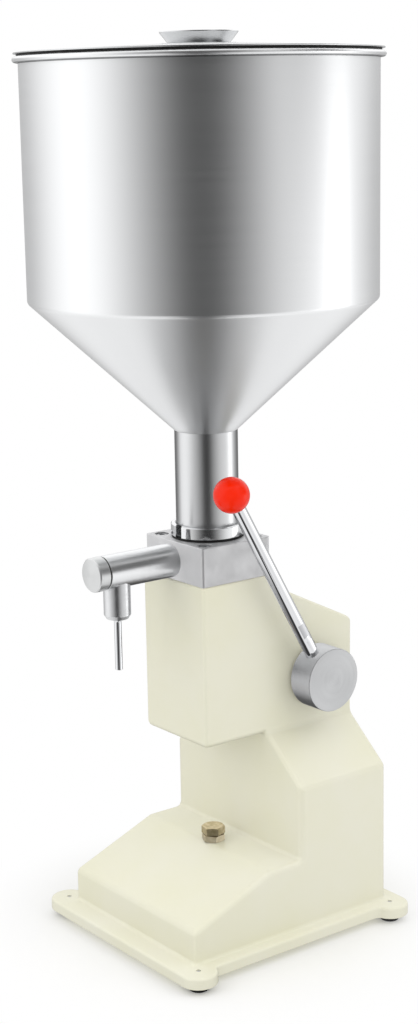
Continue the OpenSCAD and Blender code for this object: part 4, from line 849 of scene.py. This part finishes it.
cover_screw = turned([(0, 0), (2, 0), (2, 10), (3.7, 10, 0.2), (3.7, 11, 1.2), (2.4, 12.6, 0.8),
                      (0, 12.6)], 32)
cover_screw = moved(combine(cover_screw, [cylinder(1.44, 11.3, 14, 6)]), (0, BACK_Y - WALL, 0), TO_REAR)
piece("cover_screws", copies(cover_screw, COVER_SCREWS, SCREW_STEEL), SCREW_STEEL, "machine",
      "rear_cover_screws")


# Stroke adjuster, a bolt of 12 mm and its nut, both 18 mm across the flats

FLATS, FACE_R, CONE_R, CONE_DROP, PAST_CORNERS_R = 18, 8.8, 11.5, 1.4, 12
CORNER_EASE, CUT_PAST = 0.35, 0.1
HEAD_LOW, HEAD_HIGH, HEAD_TURN = 82.7, 89.2, -12
DISH_LOW, DISH_R, DISH_RIM_R = 88.6, 5.2, 7
NUT_LOW, NUT_HIGH, NUT_TURN = 76, 82, -25
THREAD_R, THREAD_DEPTH, THREAD_PITCH, THREAD_LOW, THREAD_HIGH = 5.98, 0.55, 1.75, 16.7, 83.5


def hexagon(low, high, foot_chamfered, turn):
    """A hexagon with its upper corners turned off, and its lower ones too where they are chamfered."""
    foot = [(FACE_R, low), (CONE_R, low + CONE_DROP)]
    if not foot_chamfered:
        foot = [(PAST_CORNERS_R, low), (PAST_CORNERS_R, low + CUT_PAST)]
    cone = [(0, low), *foot, (CONE_R, high - CONE_DROP), (FACE_R, high), (0, high)]
    prism = moved(cylinder(FLATS / math.sqrt(3), low, high, 6), HERE, (0, 0, turn))
    prism = edges_eased(prism, lambda a, b: CORNER_EASE if abs(a.z - b.z) > NEAR else 0, 1, 2)
    return combine(prism, [turned(cone, 72)], "INTERSECT")


def thread(radius, depth, pitch, low, high, sides=40, rows=6):
    """A threaded rod. Its ridge climbs one pitch for each turn."""
    rings = round((high - low) / pitch * rows)
    points = []
    for i in range(rings + 1):
        z = low + (high - low) * i / rings
        fade = min(1, (z - low) / pitch, (high - z) / pitch)
        for k in range(sides):
            phase = (z / pitch - k / sides) % 1
            r = radius - depth * abs(2 * phase - 1) * fade
            points.append((r * math.cos(math.tau * k / sides), r * math.sin(math.tau * k / sides), z))
    faces = []
    for i in range(rings):
        below, above = i * sides, (i + 1) * sides
        faces += [[below + k, below + (k + 1) % sides, above + (k + 1) % sides, above + k]
                  for k in range(sides)]
    faces += [list(range(sides))[::-1], [rings * sides + k for k in range(sides)]]
    return from_faces(points, faces)


above_head = HEAD_HIGH + CUT_PAST
dish = turned([(0, DISH_LOW), (DISH_R, DISH_LOW), (DISH_RIM_R, above_head), (0, above_head)], 64)
bolt_head = combine(hexagon(HEAD_LOW, HEAD_HIGH, False, HEAD_TURN), [dish])
bolt_thread = thread(THREAD_R, THREAD_DEPTH, THREAD_PITCH, THREAD_LOW, THREAD_HIGH)
piece("stroke_bolt", combine(bolt_head, [bolt_thread], "UNION"), BOLT_NICKEL, "adjuster", "adjusting_bolt")
nut_bore = cylinder(BOLT_BORE[0], NUT_LOW - 1, NUT_HIGH + 1, 48)
nut = combine(hexagon(NUT_LOW, NUT_HIGH, True, NUT_TURN), [nut_bore])
piece("stroke_nut", nut, NUT_NICKEL, "lock_nut", "lock_nut")


# Valve block. Cuts run past its faces.

BLOCK_HALF_X, BLOCK_HALF_Y, BLOCK_TOP_Z = 39.5, 36, 349
UNDER_BLOCK, OVER_BLOCK = TOP_Z - 1, BLOCK_TOP_Z + 1
EASE_BLOCK_REAR, EASE_BLOCK_FRONT, EASE_BLOCK_TOP, EASE_BLOCK_FOOT = 4, 2, 0.8, 0.5
NECK_SEAT_R, NECK_FOOT_Z = 26.55, 339
INLET_RIM = [(0, UNDER_BLOCK), (20, UNDER_BLOCK), (20, 317.5), (16, 317.5), (16, 334), (6.5, 334), (6.5, 337),
             (20, NECK_FOOT_Z), (NECK_SEAT_R, NECK_FOOT_Z), (NECK_SEAT_R, OVER_BLOCK), (0, OVER_BLOCK)]
SCREW_WAY_RIM = [(0, UNDER_BLOCK), (3.05, UNDER_BLOCK), (3.05, 342), (6, 342), (6, 348.7), (6.5, 349.2),
                 (6.5, OVER_BLOCK), (0, OVER_BLOCK)]
OUTLET_WAY_RIM = [(0, 13), (4.5, 13), (4.5, 26), (12.1, 26), (12.1, 37), (0, 37)]


def block_edge(a, b):
    """Width in mm of the rounding of a block's edge, from its two ends."""
    if abs(a.z - b.z) > NEAR:
        return EASE_BLOCK_REAR if a.y > 0 else EASE_BLOCK_FRONT
    return EASE_BLOCK_TOP if a.z > BLOCK_TOP_Z - NEAR else EASE_BLOCK_FOOT


shell = box((-BLOCK_HALF_X, -BLOCK_HALF_Y, TOP_Z), (BLOCK_HALF_X, BLOCK_HALF_Y, BLOCK_TOP_Z))
shell = edges_eased(shell, block_edge, EASE_BLOCK_REAR, 6)
block = combine(shell, [turned(INLET_RIM, 96), copies(turned(SCREW_WAY_RIM, 48), BLOCK_SCREWS),
                        moved(turned(OUTLET_WAY_RIM, 64), OUTLET_AT, TO_FRONT)])
piece("block", block, BLOCK_STEEL, "machine", "valve_block")
block_screw = turned([(0, 306), (3, 306, 0.4), (3, 342), (4.9, 342), (4.9, 348, 0.9), (3.3, 348),
                      (2.9, 347.6), (0, 347.6)], 48)
block_screw = combine(block_screw, [cylinder(2.88, 345, 349, 6)])
piece("block_bolts", copies(block_screw, BLOCK_SCREWS, SCREW_STEEL), SCREW_STEEL, "machine", "block_screws")


# Hopper

RIM_Z, BOWL_R, BOWL_INNER_R, CONE_TOP_Z = 742.5, 144, 142.5, 548
NECK_R, NECK_INNER_R, NECK_TOP_Z = 26.5, 25, 441.5
GASKET_TOP_Z = 350.3
bead = arc((146.5, 740), 2.5, 205, 445, 14)
bowl_rim = [(NECK_SEAT_R, 439.5), (BOWL_R, CONE_TOP_Z, 4.5), *bead, (BOWL_INNER_R, RIM_Z, 0.4),
            (BOWL_INNER_R, 548.66, 3), (NECK_SEAT_R, 441.54)]
piece("bowl", turned(bowl_rim, 192, BOWL_STEEL, 6), BOWL_STEEL, "machine", "hopper_bowl")
neck_rim = [(NECK_INNER_R, NECK_FOOT_Z), (NECK_R, NECK_FOOT_Z), (NECK_R, NECK_TOP_Z, 0.3),
            (NECK_INNER_R, NECK_TOP_Z, 0.3)]
piece("neck", turned(neck_rim, 128, NECK_STEEL), NECK_STEEL, "machine", "neck_tube")
ring_rim = [(NECK_SEAT_R, GASKET_TOP_Z), (30, GASKET_TOP_Z), (31, 351.3), (31, 360.2, 0.4), (30.2, 361, 0.4),
            (27.6, 361, 0.3), (NECK_SEAT_R, 359.5)]
slots = [box((-4, low, BLOCK_TOP_Z), (4, high, 362)) for low, high in ((-40, -27.5), (27.5, 40))]
piece("slotted_ring", combine(turned(ring_rim, 128), slots), RING_STEEL, "machine", "ring_nut")
gasket = tube(NECK_SEAT_R, 30.5, BLOCK_TOP_Z, GASKET_TOP_Z, 96, RUBBER)
piece("ring_gasket", gasket, RUBBER, "machine", "neck_gasket")


# Lid

LID_Z, LID_TOP_Z = 744.3, 751
SKIRT_R, SKIRT_INNER_R, SKIRT_FOOT_Z = 141, 139.8, 735.3
KNOB_R, KNOB_TOP_Z, KNOB_SCREW_R = 25.25, 760, 2.55
lid_rim = [(0, 749.8), (KNOB_R, 749.8), (SKIRT_INNER_R, LID_Z), (SKIRT_INNER_R, SKIRT_FOOT_Z, 0.3),
           (SKIRT_R, SKIRT_FOOT_Z, 0.3), (SKIRT_R, LID_Z, 0.3), (148, LID_Z, 0.4), (148, 745.5, 0.4),
           (SKIRT_R, 745.5), (KNOB_R, LID_TOP_Z), (0, LID_TOP_Z)]
lid = combine(turned(lid_rim, 192), [cylinder(KNOB_SCREW_R, 748, 752, 24)])
piece("lid", lid, LID_STEEL, "hopper_lid", "hopper_lid")
piece("lid_ring", tube(141.05, 145.45, RIM_Z, LID_Z, 144, RUBBER), RUBBER, "hopper_lid", "lid_seal")
knob_rim = [(0, LID_TOP_Z), (KNOB_R, LID_TOP_Z, 0.5), (31.75, 759.2, 0.4), (31.5, KNOB_TOP_Z, 0.3),
            (28.75, KNOB_TOP_Z, 0.3), (27.25, 758.5, 0.5), (0, 758.5)]
knob = combine(turned(knob_rim, 96), [cylinder(KNOB_SCREW_R, 750, 756, 24)])
piece("knob", knob, LID_STEEL, "hopper_lid", "lid_knob")


# Outlet. Its pieces are turned on Z and then laid to the front.

PIPE_R, PIPE_BORE_R, PIPE_END, CAP_SEAT = 14.25, 10.05, 104.5, 105.7
CAP_DOME_R, CAP_TOP = 13.25, 116.5
HOLDER_R, HOLDER_BORE_R, NOZZLE_SEAT = 11.25, 5.5, -22
pipe_rim = [(12.05, 26.2), (12.05, 36), (PIPE_R, 36), (PIPE_R, PIPE_END, 0.4), (PIPE_BORE_R, PIPE_END),
            (PIPE_BORE_R, 26.2)]
branch_hole = moved(cylinder(7.55, -16, 0, 48), (0, 0, -NOZZLE_AT[1]), TO_REAR)
pipe = moved(combine(turned(pipe_rim, 96), [branch_hole]), OUTLET_AT, TO_FRONT)
pipe = piece("outlet_pipe", pipe, TUBE_STEEL, "machine", "outlet_tube")
pipe.visible_glossy = False
seal = tube(10.1, 13.55, PIPE_END, CAP_SEAT, 72, RUBBER)
piece("cap_seal", moved(seal, OUTLET_AT, TO_FRONT), RUBBER, "machine", "cap_o_ring")
dome = [(CAP_DOME_R * math.sqrt(s), CAP_TOP - 0.8 * s) for s in (0.7, 0.45, 0.25, 0.1, 0.02, 0)]
cap_rim = [(0, 96.7), (2.9, 96.7), (2.9, 99.7), (10, 99.7), (10, CAP_SEAT), (PIPE_R, CAP_SEAT, 0.5),
           (PIPE_R, 114.7, 0.4), (CAP_DOME_R, 115.7, 0.5), *dome]
piece("end_cap", moved(turned(cap_rim, 96, CAP_STEEL), OUTLET_AT, TO_FRONT), CAP_STEEL, "machine",
      "outlet_end_cap")

holder_rim = [(4.05, -40), (9.05, -40, 0.4), (HOLDER_R, -36.6, 1.2), (HOLDER_R, 0), (HOLDER_BORE_R, 0),
              (HOLDER_BORE_R, NOZZLE_SEAT), (4.05, NOZZLE_SEAT)]
holder = combine(turned(holder_rim, 96), [moved(cylinder(14.3, -20, 20, 96), HERE, TO_FRONT)])
stub = combine(tube(HOLDER_BORE_R, 7.5, -16.5, -8, 48),
               [moved(cylinder(PIPE_BORE_R, -12, 12, 72), HERE, TO_FRONT)])
holder = moved(combine(holder, [stub], "UNION"), NOZZLE_AT)
piece("nozzle_socket", holder, SOCKET_STEEL, "machine", "nozzle_holder")
nozzle_rim = [(2.2, -84, 0.2), (3.1, -84, 0.3), (3.1, -42.5, 3), (4.3, -40, 0.2), (4, -40), (4, NOZZLE_SEAT),
              (2.2, NOZZLE_SEAT)]
piece("nozzle", moved(turned(nozzle_rim, 48, CHROME), NOZZLE_AT), CHROME, "machine", "nozzle_tube")


# Lever and its shaft. What sits on the shaft is turned on Z and then laid to the right.

SHAFT_R, SHAFT_FIT_R, SHAFT_END, GROOVE_R, GROOVE_FROM, GROOVE_TO = 10, 10.05, 64.2, 9.2, -46.5, -45.3
HUB_R, HUB_FROM, HUB_TO = 27.5, 46, 70
ROD_R, ROD_END_R, ROD_COLLAR, BALL_SEAT, ROD_TOP = 6, 5, 25, 187, 202.7
BALL_R, BALL_Z, BALL_BORE_R, BALL_BORE_TOP = 15, 199, 5.05, 203
CUTTER_R, CUTTER_AT, FLAT_REACH = 21, 26, 17       # a round cutter leaves each flat's run out at its foot
shaft_rim = [(0, -49.5), (SHAFT_R, -49.5, 0.8), (SHAFT_R, GROOVE_FROM), (GROOVE_R, GROOVE_FROM),
             (GROOVE_R, GROOVE_TO), (SHAFT_R, GROOVE_TO), (SHAFT_R, SHAFT_END, 0.5), (0, SHAFT_END)]
piece("shaft", moved(turned(shaft_rim, 64), SHAFT_AT, TO_RIGHT), SCREW_STEEL, "lever", "lever_shaft")
clip = turned([(9.25, -46.45), (12.8, -46.45, 0.2), (12.8, -45.35, 0.2), (9.25, -45.35)], 64, SCREW_STEEL)
piece("shaft_ring", moved(clip, SHAFT_AT, TO_RIGHT), SCREW_STEEL, "lever", "shaft_retaining_ring")
bush = turned([(SHAFT_FIT_R, 29), (14, 29), (14, HEAD_HALF), (18, HEAD_HALF), (18, 45, 0.6),
               (SHAFT_FIT_R, 45)], 72, BRONZE)
piece("bush_right", moved(bush.copy(), SHAFT_AT, TO_RIGHT), BRONZE, "machine", "shaft_bush_right")
piece("bush_left", moved(bush, SHAFT_AT, TO_LEFT), BRONZE, "machine", "shaft_bush_left")

hub = moved(turned([(0, HUB_FROM), (HUB_R, HUB_FROM, 0.7), (HUB_R, HUB_TO, 0.7), (0, HUB_TO)], 144),
            SHAFT_AT, TO_RIGHT)
rod_seat = turned([(0, 13), (5.05, 13), (5.05, ROD_COLLAR), (6.05, ROD_COLLAR), (6.05, 29), (0, 29)], 48)
hub_holes = [moved(cylinder(SHAFT_FIT_R, 45, 64.5, 64), SHAFT_AT, TO_RIGHT),
             moved(rod_seat, LEVER_AT, LEVER_TURN), moved(cylinder(3.05, -29, 0, 32), LEVER_AT, LEVER_TURN)]
piece("hub", combine(hub, hub_holes), HUB_STEEL, "lever", "lever_hub")

rod = turned([(0, 13.3), (ROD_END_R, 13.3), (ROD_END_R, ROD_COLLAR), (ROD_R, ROD_COLLAR),
              (ROD_R, BALL_SEAT, 0.3), (ROD_END_R, BALL_SEAT), (ROD_END_R, ROD_TOP), (0, ROD_TOP)], 64)
cutters = []
for side in (-1, 1):
    near, far = sorted((FLAT_OFF * side, FLAT_REACH * side))
    cutters.append(box((near, -12, FLAT_LOW), (far, 12, FLAT_HIGH)))
    cutters.append(moved(cylinder(CUTTER_R, -12, 12, 256), (CUTTER_AT * side, 0, FLAT_LOW), TO_FRONT))
bar = moved(combine(rod, cutters), LEVER_AT, LEVER_TURN)
bar = piece("lever_bar", bar, LEVER_CHROME, "lever", "lever_rod")
bar.visible_glossy = False
ball_rim = [(6.05, 185.3, 0.4), *arc((0, BALL_Z), BALL_R, -64, 90, 40), (0, BALL_BORE_TOP),
            (BALL_BORE_R, BALL_BORE_TOP), (BALL_BORE_R, BALL_SEAT), (6.05, BALL_SEAT)]
ball = piece("ball", moved(turned(ball_rim, 96, RED), LEVER_AT, LEVER_TURN), RED, "lever", "lever_ball")
ball.visible_glossy = False


# Pieces kept as the CAD has them

KEPT = {"knob_screw": SCREW_STEEL, "outlet_valve_ball": CHROME, "outlet_spring": SCREW_STEEL,
        "inlet_valve_ball": CHROME, "inlet_spring": SCREW_STEEL, "spring_cage": SCREW_STEEL,
        "pump_cylinder": NECK_STEEL, "cylinder_gasket": RUBBER, "piston": SCREW_STEEL, "piston_seals": RUBBER,
        "piston_rod": CHROME, "cross_pin": CHROME, "pin_clips": SCREW_STEEL, "rod_guide_bush": BRONZE,
        "drive_arm": BLOCK_STEEL, "arm_screw": SCREW_STEEL, "hub_set_screw": SCREW_STEEL}
for name, finish in KEPT.items():
    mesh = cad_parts[name].data
    mesh.materials.clear()
    mesh.materials.append(finish)
